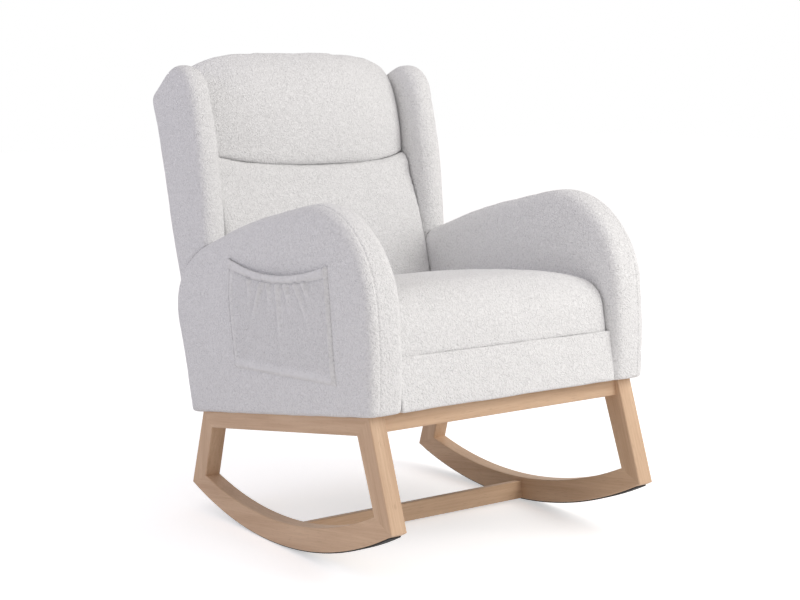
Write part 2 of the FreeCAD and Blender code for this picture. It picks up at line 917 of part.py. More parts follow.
# The padded arm, grown all round by a gap where it serves to shape what sits on it
def arm_form(label, side, gap):
    near = size("arm_inner") - gap
    thickness = size("arm_thickness") + as_size(gap) * 2
    start = side_start(side, near, thickness)
    body = slab(label, "YZ_Plane", start, arm_outline(-as_size(gap), size("rail_top")), thickness)
    faces = (start, start + thickness)
    foot = size("rail_top").number + 1
    rear_corner = size("arm_rear_top").number - 1

    def is_rear_corner(edge):
        point = middle(edge)
        across = abs(edge.Vertexes[0].Point.x - edge.Vertexes[-1].Point.x) > 1
        return across and point.y > 0 and point.z > rear_corner

    def is_rim(edge):
        return middle(edge).z > foot and any(lies_at(edge, "x", face) for face in faces)

    round_edges(body, size("arm_rear_round"), is_rear_corner)
    round_edges(body, size("arm_edge_round"), is_rim)
    return body


arm_frame_inner = base_inner + (size("member_thickness") - size("arm_frame_thickness")) / 2


def arm_pad(side):
    label = f"{side_name(side)}_arm_pad"
    body = arm_form(label, side, 0)
    gap = size("frame_clearance")
    thickness = size("arm_frame_thickness") + gap * 2
    start = side_start(side, arm_frame_inner - gap, thickness)
    slot(body, "YZ_Plane", start, arm_outline(size("arm_padding") - gap, size("rail_top")), thickness)
    finish(label, body, leaned)


def arm_frame(side):
    label = f"{side_name(side)}_arm_frame"
    thickness = size("arm_frame_thickness")
    start = side_start(side, arm_frame_inner, thickness)
    blank = slab(label, "YZ_Plane", start, arm_outline(size("arm_padding"), size("rail_top")), thickness)
    reach = (size("arm_window_front"), size("arm_window_rear"))
    window = rectangle(*reach, size("arm_window_foot"), size("arm_window_top"))
    slot(blank, "YZ_Plane", start, window, thickness)
    holes = [arm_bolt(side, index, clearance) for index in range(ARM_BOLTS)]
    finish(label, cut(label, blank, joined(f"{label}_holes", holes)), leaned)


# Side pocket: a pouch with a drooping mouth, sewn to the arm's outer face along its sides and foot
def pocket_outline(seam, mouth_lift):
    return [
        (-size("pocket_front_foot_reach") + seam, size("pocket_front_foot") + seam),
        (size("pocket_rear_foot_reach") - seam, size("pocket_rear_foot") + seam),
        (size("pocket_rear_top_reach") - seam, size("pocket_rear_top") + mouth_lift, -size("pocket_mouth_radius")),
        (-size("pocket_front_top_reach") + seam, size("pocket_front_top") + mouth_lift),
    ]


def side_pocket(side):
    label = f"{side_name(side)}_side_pocket"
    face = size("arm_inner") + size("arm_thickness")
    bulge = size("pocket_bulge")
    depth = bulge - size("pocket_cloth")
    body = slab(label, "YZ_Plane", side_start(side, face, bulge), pocket_outline(0, 0), bulge)
    cavity = pocket_outline(size("pocket_seam"), size("pocket_seam"))
    slot(body, "YZ_Plane", side_start(side, face, depth), cavity, depth)
    finish(label, body, leaned)


# Back: a wooden frame with webbing, drawn in the back's own frame, where -Y is depth from the rear face
def back_slab(label, near, thickness, front, rear, foot, top):
    corners = rectangle(-as_size(front), -as_size(rear), foot, top)
    return slab(label, "YZ_Plane", near, corners, thickness)


post_rear = size("rear_cover_thickness")
post_front = post_rear + size("post_depth")
strap_front = post_front + size("strap_thickness")
cushion_rear = strap_front + size("back_gap")


def wing_bolt_heights():
    return [size("wing_bolt_first") + size("wing_bolt_pitch") * index for index in range(WING_BOLTS)]


# Wing bolts lie along X, in the back's frame, from the wing's panel into the post
def wing_bolt(side, height, extra):
    outer = wing_frame_inner + size("wing_frame_thickness")
    length = outer - post_middle
    centre = raked.multVec(vector((outer - length / 2) * side, -(post_rear + size("post_depth") / 2), height))
    across = FreeCAD.Vector(1, 0, 0)
    return cylinder("wing_bolt", size("bolt_diameter") + extra, length + extra, centre, across)


def wing_holes(side, label):
    return joined(label, [wing_bolt(side, height, clearance) for height in wing_bolt_heights()])


def back_post(side):
    label = f"{side_name(side)}_back_post"
    slope = size("back_slope")
    width = size("post_width")
    corners = [
        (-post_front, -(post_front * slope)),
        (-post_rear, -(post_rear * slope)),
        (-post_rear, size("post_top")),
        (-post_front, size("post_top")),
    ]
    blank = slab(label, "YZ_Plane", side_start(side, post_outer - width, width), corners, width)
    blank.Placement = raked
    holes = [wing_bolt(side, height, clearance) for height in wing_bolt_heights()]
    holes.append(seat_bolt(post_middle * side, rear_bolt_row, clearance))
    finish(label, cut(label, blank, joined(f"{label}_holes", holes)), leaned)


def back_rail(label, top):
    half = post_outer - size("post_width")
    foot = top - size("back_rail_height")
    body = back_slab(label, -half, half * 2, post_front, post_rear, foot, top)
    finish(label, body, leaned_back)


def back_webbing():
    straps = []
    for index in range(BACK_STRAPS):
        foot = size("back_strap_first") + size("back_strap_pitch") * index - size("strap_width") / 2
        top = foot + size("strap_width")
        straps.append(back_slab("back_strap", -post_outer, post_outer * 2, strap_front, post_front, foot, top))
    finish("back_webbing", group("back_webbing", straps), leaned_back)


def rear_cover():
    label = "rear_cover"
    corners = rectangle(-post_outer, post_outer, as_size(0), size("post_top"))
    body = slab(label, "XZ_Plane", as_size(0), corners, size("rear_cover_thickness"))
    outer = as_size(0)

    def is_rear_rim(edge):
        return lies_at(edge, "y", outer)

    round_edges(body, size("rear_cover_thickness") * 0.5, is_rear_rim)
    finish(label, body, leaned_back)


# The seam between the back cushion and the head cushion dips in the middle
def seam_height(share):
    return between("head_seam", "head_seam_edge", share)


def back_section(share):
    foot = deck_height - size("rail_top") + size("back_cushion_lift") + size("back_edge_draw") * share
    top = seam_height(share) - size("back_gap")
    depth = between("back_cushion_depth", "back_cushion_edge_depth", share)
    crease_foot = top - size("back_crease_height")
    crease_radius = tangent_radius(size("back_crease_height"), size("back_crease_depth"))
    face_radius = tangent_radius((crease_foot - foot) / 2, size("back_cushion_bulge"))
    return [
        (-depth, foot),
        (-cushion_rear, foot),
        (-cushion_rear, top),
        (-(depth - size("back_crease_depth")), top, crease_radius),
        (-depth, crease_foot, face_radius),
    ]


# The hollow behind a cushion, into which the webbing gives way
def hollow(body, cushion):
    half = size(f"{cushion}_hollow_half_width")
    corners = rectangle(-half, half, size(f"{cushion}_hollow_foot"), size(f"{cushion}_hollow_top"))
    slot(body, "XZ_Plane", cushion_rear, corners, size(f"{cushion}_hollow_depth"))


def back_cushion():
    label = "back_cushion"
    body = lofted(label, across_sections(post_outer, size("back_shoulder"), back_section))
    hollow(body, "back")
    finish(label, body, leaned_back)


# Head cushion: bulges over the seam below it and rolls back over the top of the frame
def head_section(share):
    seam = seam_height(share)
    rim = size("post_top") + size("back_gap")
    tuck = between("head_tuck_depth", "head_edge_tuck_depth", share)
    bulge = between("head_depth", "head_edge_depth", share)
    bulge_height = size("head_bulge_height")
    top = rim + between("head_top_rise", "head_edge_top_rise", share)
    top_depth = between("head_top_depth", "head_edge_top_depth", share)
    rear_height = rim + between("head_rear_rise", "head_edge_rear_rise", share)
    top_radius = tangent_radius(top_depth, top - rear_height)
    face_radius = tangent_radius(top - bulge_height, bulge - top_depth)
    tuck_radius = tangent_radius(bulge_height - seam, bulge - tuck)
    return [
        (-cushion_rear, seam),
        (-cushion_rear, rim),
        (as_size(0), rim),
        (as_size(0), rear_height, top_radius),
        (-top_depth, top, face_radius),
        (-bulge, bulge_height, tuck_radius),
        (-tuck, seam),
    ]


def head_cushion():
    label = "head_cushion"
    body = lofted(label, across_sections(post_outer, size("back_shoulder"), head_section))
    hollow(body, "head")
    finish(label, body, leaned_back)


# Wings: padded panels beside the head, standing on the arms
wing_frame_inner = size("wing_inner") + (size("wing_thickness") - size("wing_frame_thickness")) / 2


# The outline runs up the bowed front, over a round crest, down a straight slope and round a corner into the raked rear
def wing_outline(padding, foot):
    padding = as_size(padding)
    crest_reach = size("wing_top_reach")
    crest = size("wing_top") - padding
    front_foot = size("wing_front_foot") + padding
    front = size("wing_front_top") + padding
    front_height = size("wing_front_top_height")
    crest_radius = tangent_radius(crest_reach - front, crest - front_height)
    crest_hub = crest - crest_radius
    slope = size("wing_top_slope")
    slope_length = (slope * slope + 1).root()
    corner_radius = size("wing_rear_round") - padding
    corner_depth = padding + corner_radius
    upright_rear = rear_reach(as_size(0), corner_depth)
    reach_of_slope = slope * crest_reach + crest_hub + (crest_radius - corner_radius) * slope_length
    corner_height = (reach_of_slope - slope * upright_rear) / (slope * size("back_slope") + 1)
    corner_reach = rear_reach(corner_height, corner_depth)
    run = front_foot - front
    drop = front_height - foot
    facing = (crest_reach - front) * run + (front_height - crest_hub) * drop
    bow_radius = (run * run + drop * drop) * crest_radius / (facing * 2)
    return [
        (front_foot, foot),
        (rear_reach(foot, padding), foot),
        (
            corner_reach + corner_radius / rake_length,
            corner_height - corner_radius * size("back_slope") / rake_length,
            corner_radius,
        ),
        (corner_reach + corner_radius * slope / slope_length, corner_height + corner_radius / slope_length),
        (crest_reach + crest_radius * slope / slope_length, crest_hub + crest_radius / slope_length, crest_radius),
        (front, front_height, bow_radius),
    ]


def wing_form(label, side):
    thickness = size("wing_thickness")
    start = side_start(side, size("wing_inner"), thickness)
    foot = size("wing_hidden_foot")
    body = slab(label, "YZ_Plane", start, wing_outline(0, foot), thickness)
    faces = (start, start + thickness)

    def is_rim(edge):
        return middle(edge).z > foot.number + 1 and any(lies_at(edge, "x", face) for face in faces)

    round_edges(body, size("wing_edge_round"), is_rim)
    return body


def wing(side):
    name = side_name(side)
    seat = arm_form(f"{name}_wing_seat", side, size("wing_gap"))
    foot = size("wing_hidden_foot")
    gap = size("frame_clearance")
    label = f"{name}_wing_pad"
    pad = wing_form(label, side)
    thickness = size("wing_frame_thickness") + gap * 2
    start = side_start(side, wing_frame_inner - gap, thickness)
    slot(pad, "YZ_Plane", start, wing_outline(size("wing_padding") - gap, foot), thickness)
    pad_tools = joined(f"{label}_tools", [seat, wing_holes(side, f"{label}_holes")])
    finish(label, cut(label, pad, pad_tools), leaned)
    label = f"{name}_wing_frame"
    thickness = size("wing_frame_thickness")
    start = side_start(side, wing_frame_inner, thickness)
    panel = slab(label, "YZ_Plane", start, wing_outline(size("wing_padding"), foot), thickness)
    frame_tools = joined(f"{label}_tools", [seat, wing_holes(side, f"{label}_holes")])
    finish(label, cut(label, panel, frame_tools), leaned)


def wing_bolts():
    rods = [wing_bolt(side, height, 0) for side in (-1, 1) for height in wing_bolt_heights()]
    finish("wing_bolts", group("wing_bolts", rods), leaned)


# The chair, piece by piece
for side in (-1, 1):
    side_frame(side)
    grip_strip(side)
cross_rail("front_cross_rail", front_cross_face, front_cross_back, front_bolts)
cross_rail("rear_cross_rail", rear_cross_face, rear_cross_back, rear_bolts)
rocker_stretcher()
corner_brackets()
dowels()
bolts()
for side in (-1, 1):
    seat_side_rail(side)
seat_rail("front_seat_rail", -size("box_front"), front_seat_rail_foot)
seat_rail("rear_seat_rail", size("box_rear") - size("seat_rail_depth"), size("rail_top"))
seat_webbing()
dust_cover()
seat_cushion()
footrest_front_panel()
footrest_front_board()
footrest_board()
footrest_pad()
for side in (-1, 1):
    footrest_side(side)
    slides(side)
for side in (-1, 1):
    arm_pad(side)
    arm_frame(side)
    side_pocket(side)
for side in (-1, 1):
    back_post(side)
back_rail("back_top_rail", size("post_top"))
back_rail("back_middle_rail", size("back_middle_rail_top"))
back_rail("back_bottom_rail", size("back_bottom_rail_top"))
back_webbing()
rear_cover()
back_cushion()
head_cushion()
for side in (-1, 1):
    wing(side)
wing_bolts()
doc.recompute()

for item in doc.Objects:
    if "Invalid" in item.State or "Error" in item.State:
        raise RuntimeError(f"{item.Label} is {item.State}")
for piece in pieces:
    if piece.Shape.isNull() or not piece.Shape.isValid():
        raise RuntimeError(f"{piece.Label} has no valid shape")
    if not piece.Shape.Solids:
        raise RuntimeError(f"{piece.Label} holds no solid")

# The origin: on the floor, under the middle of the chair's depth
boxes = [piece.Shape.optimalBoundingBox() for piece in pieces]
front = min(box.YMin for box in boxes)
rear = max(box.YMax for box in boxes)
shift = FreeCAD.Placement(FreeCAD.Vector(0, -(front + rear) / 2, 0), FreeCAD.Rotation())
for piece in pieces:
    piece.Placement = shift.multiply(piece.Placement)
doc.recompute()

os.makedirs("parts", exist_ok=True)
for piece in pieces:
    piece.Shape.exportStep(f"parts/{piece.Label}.step")
    print(piece.Label, len(piece.Shape.Solids), round(piece.Shape.Volume / 1000, 1), "cm3")
print(len(pieces), "pieces, depth", round(rear - front, 1), "shift", round(shift.Base.y, 2))
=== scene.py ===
# %% [markdown]
# # A rocking chair with a pull-out footrest
# The chair stands on two curved wooden runners. Its seat, back, arms and wings are foam under a thick, looped,
# off-white cloth. The wood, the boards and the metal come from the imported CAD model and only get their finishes
# here. The upholstery is made anew, because foam and cloth swell, crease and sag in ways that a solid can't show.

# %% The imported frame
import bmesh
import bpy
import json
import math
from mathutils import Matrix, Vector, noise
from mathutils.bvhtree import BVHTree


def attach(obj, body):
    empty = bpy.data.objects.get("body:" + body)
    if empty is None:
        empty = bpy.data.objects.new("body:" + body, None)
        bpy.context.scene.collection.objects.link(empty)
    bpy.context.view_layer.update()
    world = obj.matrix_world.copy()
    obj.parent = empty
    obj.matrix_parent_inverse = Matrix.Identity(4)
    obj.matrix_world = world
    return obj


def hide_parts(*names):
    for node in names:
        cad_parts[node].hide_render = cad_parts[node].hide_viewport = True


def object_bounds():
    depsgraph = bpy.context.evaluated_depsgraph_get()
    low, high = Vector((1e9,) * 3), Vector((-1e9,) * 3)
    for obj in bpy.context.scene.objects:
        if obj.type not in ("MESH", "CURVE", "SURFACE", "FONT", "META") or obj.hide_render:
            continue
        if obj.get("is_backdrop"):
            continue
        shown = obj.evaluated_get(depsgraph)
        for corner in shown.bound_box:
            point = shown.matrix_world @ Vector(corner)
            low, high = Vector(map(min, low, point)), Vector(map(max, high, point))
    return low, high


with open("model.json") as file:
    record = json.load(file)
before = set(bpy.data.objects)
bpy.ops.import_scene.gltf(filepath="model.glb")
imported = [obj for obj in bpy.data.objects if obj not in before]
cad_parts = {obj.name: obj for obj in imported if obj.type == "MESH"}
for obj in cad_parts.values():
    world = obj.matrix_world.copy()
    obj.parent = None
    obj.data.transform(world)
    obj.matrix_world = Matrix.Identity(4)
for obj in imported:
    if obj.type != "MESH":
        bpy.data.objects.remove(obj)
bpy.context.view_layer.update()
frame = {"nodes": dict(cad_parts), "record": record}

nodes = frame["nodes"]

# %% [markdown]
# ## The level chair
# The chair is easiest to measure while it is held level, but it comes to rest leaning back on its runners. One
# matrix leans a point back, and a second one adds the slope of the backrest. Pieces are drawn level and then leaned.

# %% Two frames of reference
REST_LEAN = math.radians(9.15)
ROCKER_RADIUS = 0.930
FRONT_SHIFT = -0.01931
RAIL_TOP = 0.267
BACK_FOOT = 0.387
BACK_SLOPE = 0.136

lift = Matrix.Translation((0, FRONT_SHIFT, ROCKER_RADIUS))
leaned = lift @ Matrix.Rotation(-REST_LEAN, 4, "X") @ Matrix.Translation((0, 0, -ROCKER_RADIUS))
level = leaned.inverted()
back_lean = Matrix.Rotation(-math.atan(BACK_SLOPE), 4, "X")
raked = leaned @ Matrix.Translation((0, BACK_FOOT, RAIL_TOP)) @ back_lean


def box_in(turned, name):
    points = [turned @ vertex.co for vertex in nodes[name].data.vertices]
    low = Vector([min(point[axis] for point in points) for axis in range(3)])
    high = Vector([max(point[axis] for point in points) for axis in range(3)])
    return low, high


print("level box of the seat", box_in(level, "seat_cushion"))

# %% [markdown]
# ## Finishes
# Every finish is a tree of nodes, so it has detail at any distance and needs no picture. A short helper adds one
# node and fills or links its sockets. Colours are written as they look on a screen and turned into light values.

# %% Helpers for node trees
def tint(red, green, blue):
    def light(value):
        share = value / 255
        return share / 12.92 if share <= 0.04045 else ((share + 0.055) / 1.055) ** 2.4
    return (light(red), light(green), light(blue), 1.0)


def wire(tree, kind, sockets=None, **settings):
    made = tree.nodes.new("ShaderNode" + kind)
    for name, value in settings.items():
        setattr(made, name, value)
    for socket, value in (sockets or {}).items():
        if isinstance(value, bpy.types.NodeSocket):
            tree.links.new(value, made.inputs[socket])
        else:
            made.inputs[socket].default_value = value
    return made


def new_finish(name, roughness):
    finish = bpy.data.materials.new(name)
    finish.use_nodes = True
    tree = finish.node_tree
    shader = tree.nodes["Principled BSDF"]
    shader.inputs["Roughness"].default_value = roughness
    place = wire(tree, "TexCoord").outputs["Object"]
    return finish, tree, shader, place


def spotted(tree, place, scale, detail=3.0):
    return wire(tree, "TexNoise", {"Vector": place, "Scale": scale, "Detail": detail}).outputs["Fac"]


def shaded(tree, share, dark, bright):
    factor, first_colour, second_colour, colour = 0, 6, 7, 2
    sockets = {factor: share, first_colour: dark, second_colour: bright}
    return wire(tree, "Mix", sockets, data_type="RGBA").outputs[colour]


def stretched(tree, place, steps):
    return wire(tree, "VectorMath", {0: place, 1: steps}, operation="MULTIPLY").outputs["Vector"]


def ranged(tree, value, low, high):
    return wire(tree, "MapRange", {"Value": value, "From Min": low, "From Max": high}).outputs["Result"]


def roughened(tree, shader, height, strength, depth):
    bump = wire(tree, "Bump", {"Height": height, "Strength": strength, "Distance": depth})
    tree.links.new(bump.outputs["Normal"], shader.inputs["Normal"])


def coloured(tree, shader, colour):
    tree.links.new(colour, shader.inputs["Base Color"])


print("helpers ready")

# %% [markdown]
# ## The looped cloth
# Looped wool cloth is a carpet of small soft curls, about 3 mm across, with shallow gaps between them. A cell
# texture gives one cell per curl. Its lookup point is first pushed about by noise, so the cells turn into wandering
# loops. The gaps between the curls are painted darker, as painted shade. Where a mesh carries a shading attribute, as
# the pockets have, the cloth gets painted light on the folds and hem and painted shade beside the folds.

# %% Looped cloth
LOOPS_PER_METRE = 340.0
SWAYS_PER_METRE = 90.0
SWAY = 0.013
HAIRS_PER_METRE = 700.0
HAIR_SHARE = 0.6
CLOUDS_PER_METRE = 11.0
# How strongly the painted light and shade of the pocket folds move the cloth colour.
PAINTED_LIGHT_SCALE = -0.80
CLOTH_PALE = tint(238, 238, 238)
CLOTH_WHITE = tint(243, 243, 243)
# Painted shade: the gaps between the curls take this darker colour.
CLOTH_GAP_SHADE = tint(210, 210, 210)
CLOTH_BUMP = 0.85
CLOTH_DEPTH = 0.0020


def looped_cloth():
    finish, tree, shader, place = new_finish("boucle_cloth", 0.95)
    sway = wire(tree, "TexNoise", {"Vector": place, "Scale": SWAYS_PER_METRE, "Detail": 2.0}).outputs["Color"]
    pushed = wire(tree, "VectorMath", {0: sway, 1: (SWAY, SWAY, SWAY), 2: place}, operation="MULTIPLY_ADD")
    wander = pushed.outputs["Vector"]
    curl = wire(tree, "TexVoronoi", {"Vector": wander, "Scale": LOOPS_PER_METRE}, feature="SMOOTH_F1")
    gap = ranged(tree, curl.outputs["Distance"], 0.1, 0.9)
    hair = spotted(tree, wander, HAIRS_PER_METRE)
    gaps_and_hair = wire(tree, "Math", {0: hair, 1: HAIR_SHARE, 2: gap}, operation="MULTIPLY_ADD").outputs["Value"]
    height = wire(tree, "Math", {0: 1.5, 1: gaps_and_hair}, operation="SUBTRACT").outputs["Value"]
    ground = shaded(tree, spotted(tree, place, CLOUDS_PER_METRE), CLOTH_PALE, CLOTH_WHITE)
    # Painted light and painted shade on the pocket folds, hem and seams come from this mesh attribute.
    painted_lighter = wire(tree, "Attribute", attribute_name="painted_lighter").outputs["Fac"]
    # Painted shade: the deeper the gap between curls, the darker the colour.
    gap_shade = ranged(tree, gap, 0.30, 1.15)
    depth = wire(tree, "Math", {0: painted_lighter, 1: PAINTED_LIGHT_SCALE, 2: gap_shade}, operation="MULTIPLY_ADD")
    coloured(tree, shader, shaded(tree, depth.outputs["Value"], ground, CLOTH_GAP_SHADE))
    shader.inputs["Sheen Weight"].default_value = 0.12
    shader.inputs["Sheen Roughness"].default_value = 0.6
    shader.inputs["Specular IOR Level"].default_value = 0.1
    roughened(tree, shader, height, CLOTH_BUMP, CLOTH_DEPTH)
    return finish


cloth = looped_cloth()
print("made", cloth.name)

# %% [markdown]
# ## The wood
# The base is a pale hardwood with a fine straight grain, oiled and not varnished. Noise that is drawn out along the
# board gives the grain. A Mapping node turns the pattern so that the grain runs along each board, as a joiner cuts
# it.

# %% Wood finishes
WOOD_PALE = tint(218, 187, 156)
WOOD_DARK = tint(195, 161, 130)
WOOD_PORE = tint(168, 133, 104)
BANDS_PER_METRE = (3.0, 38.0, 38.0)
LINES_PER_METRE = (9.0, 260.0, 260.0)
PORES_PER_METRE = (45.0, 1100.0, 1100.0)


def wood(name, turn, pale, dark, pore):
    finish, tree, shader, place = new_finish(name, 0.5)
    along = wire(tree, "Mapping", {"Vector": place, "Rotation": turn}, vector_type="TEXTURE").outputs["Vector"]
    bands = spotted(tree, stretched(tree, along, BANDS_PER_METRE), 1.0, 4.0)
    lines = spotted(tree, stretched(tree, along, LINES_PER_METRE), 1.0, 5.0)
    pores = spotted(tree, stretched(tree, along, PORES_PER_METRE), 1.0, 2.0)
    mixed = wire(tree, "Math", {0: lines, 1: 0.6, 2: bands}, operation="MULTIPLY_ADD").outputs["Value"]
    ground = shaded(tree, ranged(tree, mixed, 0.55, 1.05), dark, pale)
    coloured(tree, shader, shaded(tree, ranged(tree, pores, 0.6, 0.85), ground, pore))
    shader.inputs["Specular IOR Level"].default_value = 0.35
    roughened(tree, shader, mixed, 0.12, 0.0006)
    return finish


print("grain bands, lines and pores per metre", BANDS_PER_METRE, LINES_PER_METRE, PORES_PER_METRE)

# %% Grain along each board
LEG_TURN = math.radians(90)
FRONT_LEG_RAKE = math.radians(9.8)
REAR_LEG_RAKE = math.radians(-15.5)


def upright_turn(rake):
    return (Matrix.Rotation(-REST_LEAN - rake, 4, "X") @ Matrix.Rotation(-LEG_TURN, 4, "Y")).to_euler()


lengthwise_turn = (Matrix.Rotation(-REST_LEAN, 4, "X") @ Matrix.Rotation(LEG_TURN, 4, "Z")).to_euler()
crosswise_turn = (0, 0, 0)
light_wood = {
    "runner": wood("light_wood_runner", lengthwise_turn, WOOD_PALE, WOOD_DARK, WOOD_PORE),
    "front_leg": wood("light_wood_front_leg", upright_turn(FRONT_LEG_RAKE), WOOD_PALE, WOOD_DARK, WOOD_PORE),
    "rear_leg": wood("light_wood_rear_leg", upright_turn(REAR_LEG_RAKE), WOOD_PALE, WOOD_DARK, WOOD_PORE),
    "cross": wood("light_wood_cross", crosswise_turn, WOOD_PALE, WOOD_DARK, WOOD_PORE),
}
pine = wood("inner_pine", crosswise_turn, tint(214, 184, 138), tint(188, 150, 104), tint(160, 120, 78))
board = wood("inner_board", lengthwise_turn, tint(203, 172, 128), tint(181, 146, 102), tint(150, 116, 78))
beech = wood("dowel_beech", crosswise_turn, tint(216, 180, 140), tint(190, 150, 108), tint(160, 118, 80))
print("wood finishes", len(light_wood) + 3)

# %% [markdown]
# ## Metal, rubber, webbing and dust cloth
# Bolts, brackets and slides are zinc plated: grey, fairly glossy and slightly blotched. The strips under the runners
# are ribbed black rubber. The webbing is woven jute and the dust cloth a matted felt, and both are out of sight.

# %% Small finishes
def zinc():
    finish, tree, shader, place = new_finish("zinc_steel", 0.34)
    coloured(tree, shader, shaded(tree, spotted(tree, place, 140.0), tint(172, 174, 176), tint(204, 205, 206)))
    shader.inputs["Metallic"].default_value = 1.0
    roughened(tree, shader, spotted(tree, place, 900.0), 0.08, 0.0004)
    return finish


def rubber():
    finish, tree, shader, place = new_finish("grip_rubber", 0.8)
    ribs = wire(tree, "TexWave", {"Vector": place, "Scale": 90.0}, bands_direction="Y").outputs["Fac"]
    coloured(tree, shader, shaded(tree, spotted(tree, place, 300.0), tint(26, 26, 27), tint(44, 43, 42)))
    roughened(tree, shader, ribs, 0.5, 0.001)
    return finish


def woven(name, dark, bright, threads, roughness):
    finish, tree, shader, place = new_finish(name, roughness)
    warp = wire(tree, "TexWave", {"Vector": place, "Scale": threads}, bands_direction="X").outputs["Fac"]
    weft = wire(tree, "TexWave", {"Vector": place, "Scale": threads}, bands_direction="Y").outputs["Fac"]
    over = wire(tree, "Math", {0: warp, 1: weft}, operation="MULTIPLY").outputs["Value"]
    fleck = wire(tree, "Math", {0: spotted(tree, place, 420.0), 1: over}, operation="MULTIPLY").outputs["Value"]
    coloured(tree, shader, shaded(tree, ranged(tree, fleck, 0.0, 0.6), dark, bright))
    roughened(tree, shader, over, 0.6, 0.0008)
    return finish


steel = zinc()
grip = rubber()
jute = woven("jute_webbing", tint(150, 120, 82), tint(196, 168, 124), 260.0, 0.85)
felt = woven("dust_felt", tint(48, 48, 50), tint(74, 74, 76), 520.0, 0.95)
print("small finishes", [steel.name, grip.name, jute.name, felt.name])

# %% [markdown]
# ## Dressing the CAD nodes
# The wooden, metal and rubber nodes are already right in shape, so they only get a finish in each of their slots. The
# record says which material each node has, and the boards of the base also pick the finish with the right grain.

# %% Finishes on the CAD nodes
by_slot = {
    "inner_wood": pine,
    "inner_board": board,
    "dowel_wood": beech,
    "webbing": jute,
    "dust_cloth": felt,
    "zinc_steel": steel,
    "grip_rubber": grip,
    "boucle": cloth,
}
slot_of = {}
for entry in frame["record"]["subparts"]:
    slot_of[entry["node"]] = entry["material_slot"]


def base_wood(name):
    if "front_leg" in name:
        return light_wood["front_leg"]
    if "rear_leg" in name:
        return light_wood["rear_leg"]
    if "cross" in name or "stretcher" in name:
        return light_wood["cross"]
    return light_wood["runner"]


for name, node in nodes.items():
    finish = base_wood(name) if slot_of[name] == "light_wood" else by_slot[slot_of[name]]
    for slot in node.material_slots:
        slot.material = finish
print("finished", len(slot_of), "nodes")

# %% [markdown]
# ## Camera, light and floor
# The camera stands where the photograph was taken: to the left of the chair, a little above the arms, with a long
# lens.
# A wide lamp, a weak one on the left and a bright sky give soft studio light. Only the camera and mirrors see the sky
# as plain white. The floor adds a little of its own light for the camera, so that it stays white and still keeps a
# faint shadow.

# %% Camera
LENS = 70.53
SENSOR_WIDTH = 36.0
CAMERA_PLACE = (-1.8614, -2.66961, 0.941)
CAMERA_DIP = 8.448
CAMERA_TURN = -35.314

camera_lens = bpy.data.cameras.new("camera")
camera_lens.lens = LENS
camera_lens.sensor_width = SENSOR_WIDTH
camera = bpy.data.objects.new("camera", camera_lens)
camera.location = CAMERA_PLACE
camera.rotation_euler = (math.radians(90 - CAMERA_DIP), 0, math.radians(CAMERA_TURN))
bpy.context.scene.collection.objects.link(camera)
bpy.context.scene.camera = camera
bpy.context.scene.view_settings.view_transform = "Standard"
print("camera at", tuple(camera.location))

# %% Sky
SKY_STRENGTH = 0.63
SKY_TINT = tint(255, 250, 250)


def seen_directly(tree):
    path = wire(tree, "LightPath").outputs
    bounced = wire(tree, "Math", {0: path["Is Glossy Ray"], 1: path["Is Transmission Ray"]}, operation="MAXIMUM")
    seen = wire(tree, "Math", {0: path["Is Camera Ray"], 1: bounced.outputs["Value"]}, operation="MAXIMUM")
    return seen.outputs["Value"]


def studio_sky():
    world = bpy.data.worlds.new("studio")
    world.use_nodes = True
    tree = world.node_tree
    light = wire(tree, "Background", {"Color": SKY_TINT, "Strength": SKY_STRENGTH})
    plain = wire(tree, "Background", {"Color": (1, 1, 1, 1), "Strength": 1.0})
    parts = {"Fac": seen_directly(tree), 1: light.outputs[0], 2: plain.outputs[0]}
    both = wire(tree, "MixShader", parts)
    tree.links.new(both.outputs[0], tree.nodes["World Output"].inputs["Surface"])
    bpy.context.scene.world = world


studio_sky()
print("sky strength", SKY_STRENGTH)

# %% Lamps
KEY_POWER = 53.0
KEY_TINT = tint(255, 254, 250)
KEY_PLACE = (1.5, -2.5, 2.2)
FILL_POWER = 10.0
FILL_TINT = tint(200, 206, 255)
FILL_PLACE = (-3.0, 0.9, 1.9)
LAMP_SIZE = 2.4
LAMP_AIM = Vector((0, 0, 0.5))


def studio_lamp(name, power, colour, place):
    lamp = bpy.data.lights.new(name, "AREA")
    lamp.shape = "DISK"
    lamp.size = LAMP_SIZE
    lamp.energy = power
    lamp.color = colour[:3]
    holder = bpy.data.objects.new(name, lamp)
    holder.location = place
    aim = LAMP_AIM - holder.location
    holder.rotation_euler = aim.to_track_quat("-Z", "Y").to_euler()
    bpy.context.scene.collection.objects.link(holder)


studio_lamp("key_lamp", KEY_POWER, KEY_TINT, KEY_PLACE)
studio_lamp("fill_lamp", FILL_POWER, FILL_TINT, FILL_PLACE)
print("lamps at", KEY_PLACE, FILL_PLACE)

# %% Floor
FLOOR_GLOW = 0.48
FLOOR_SIZE = 14.0
FLOOR_COLOUR = (0.9, 0.9, 0.9, 1)


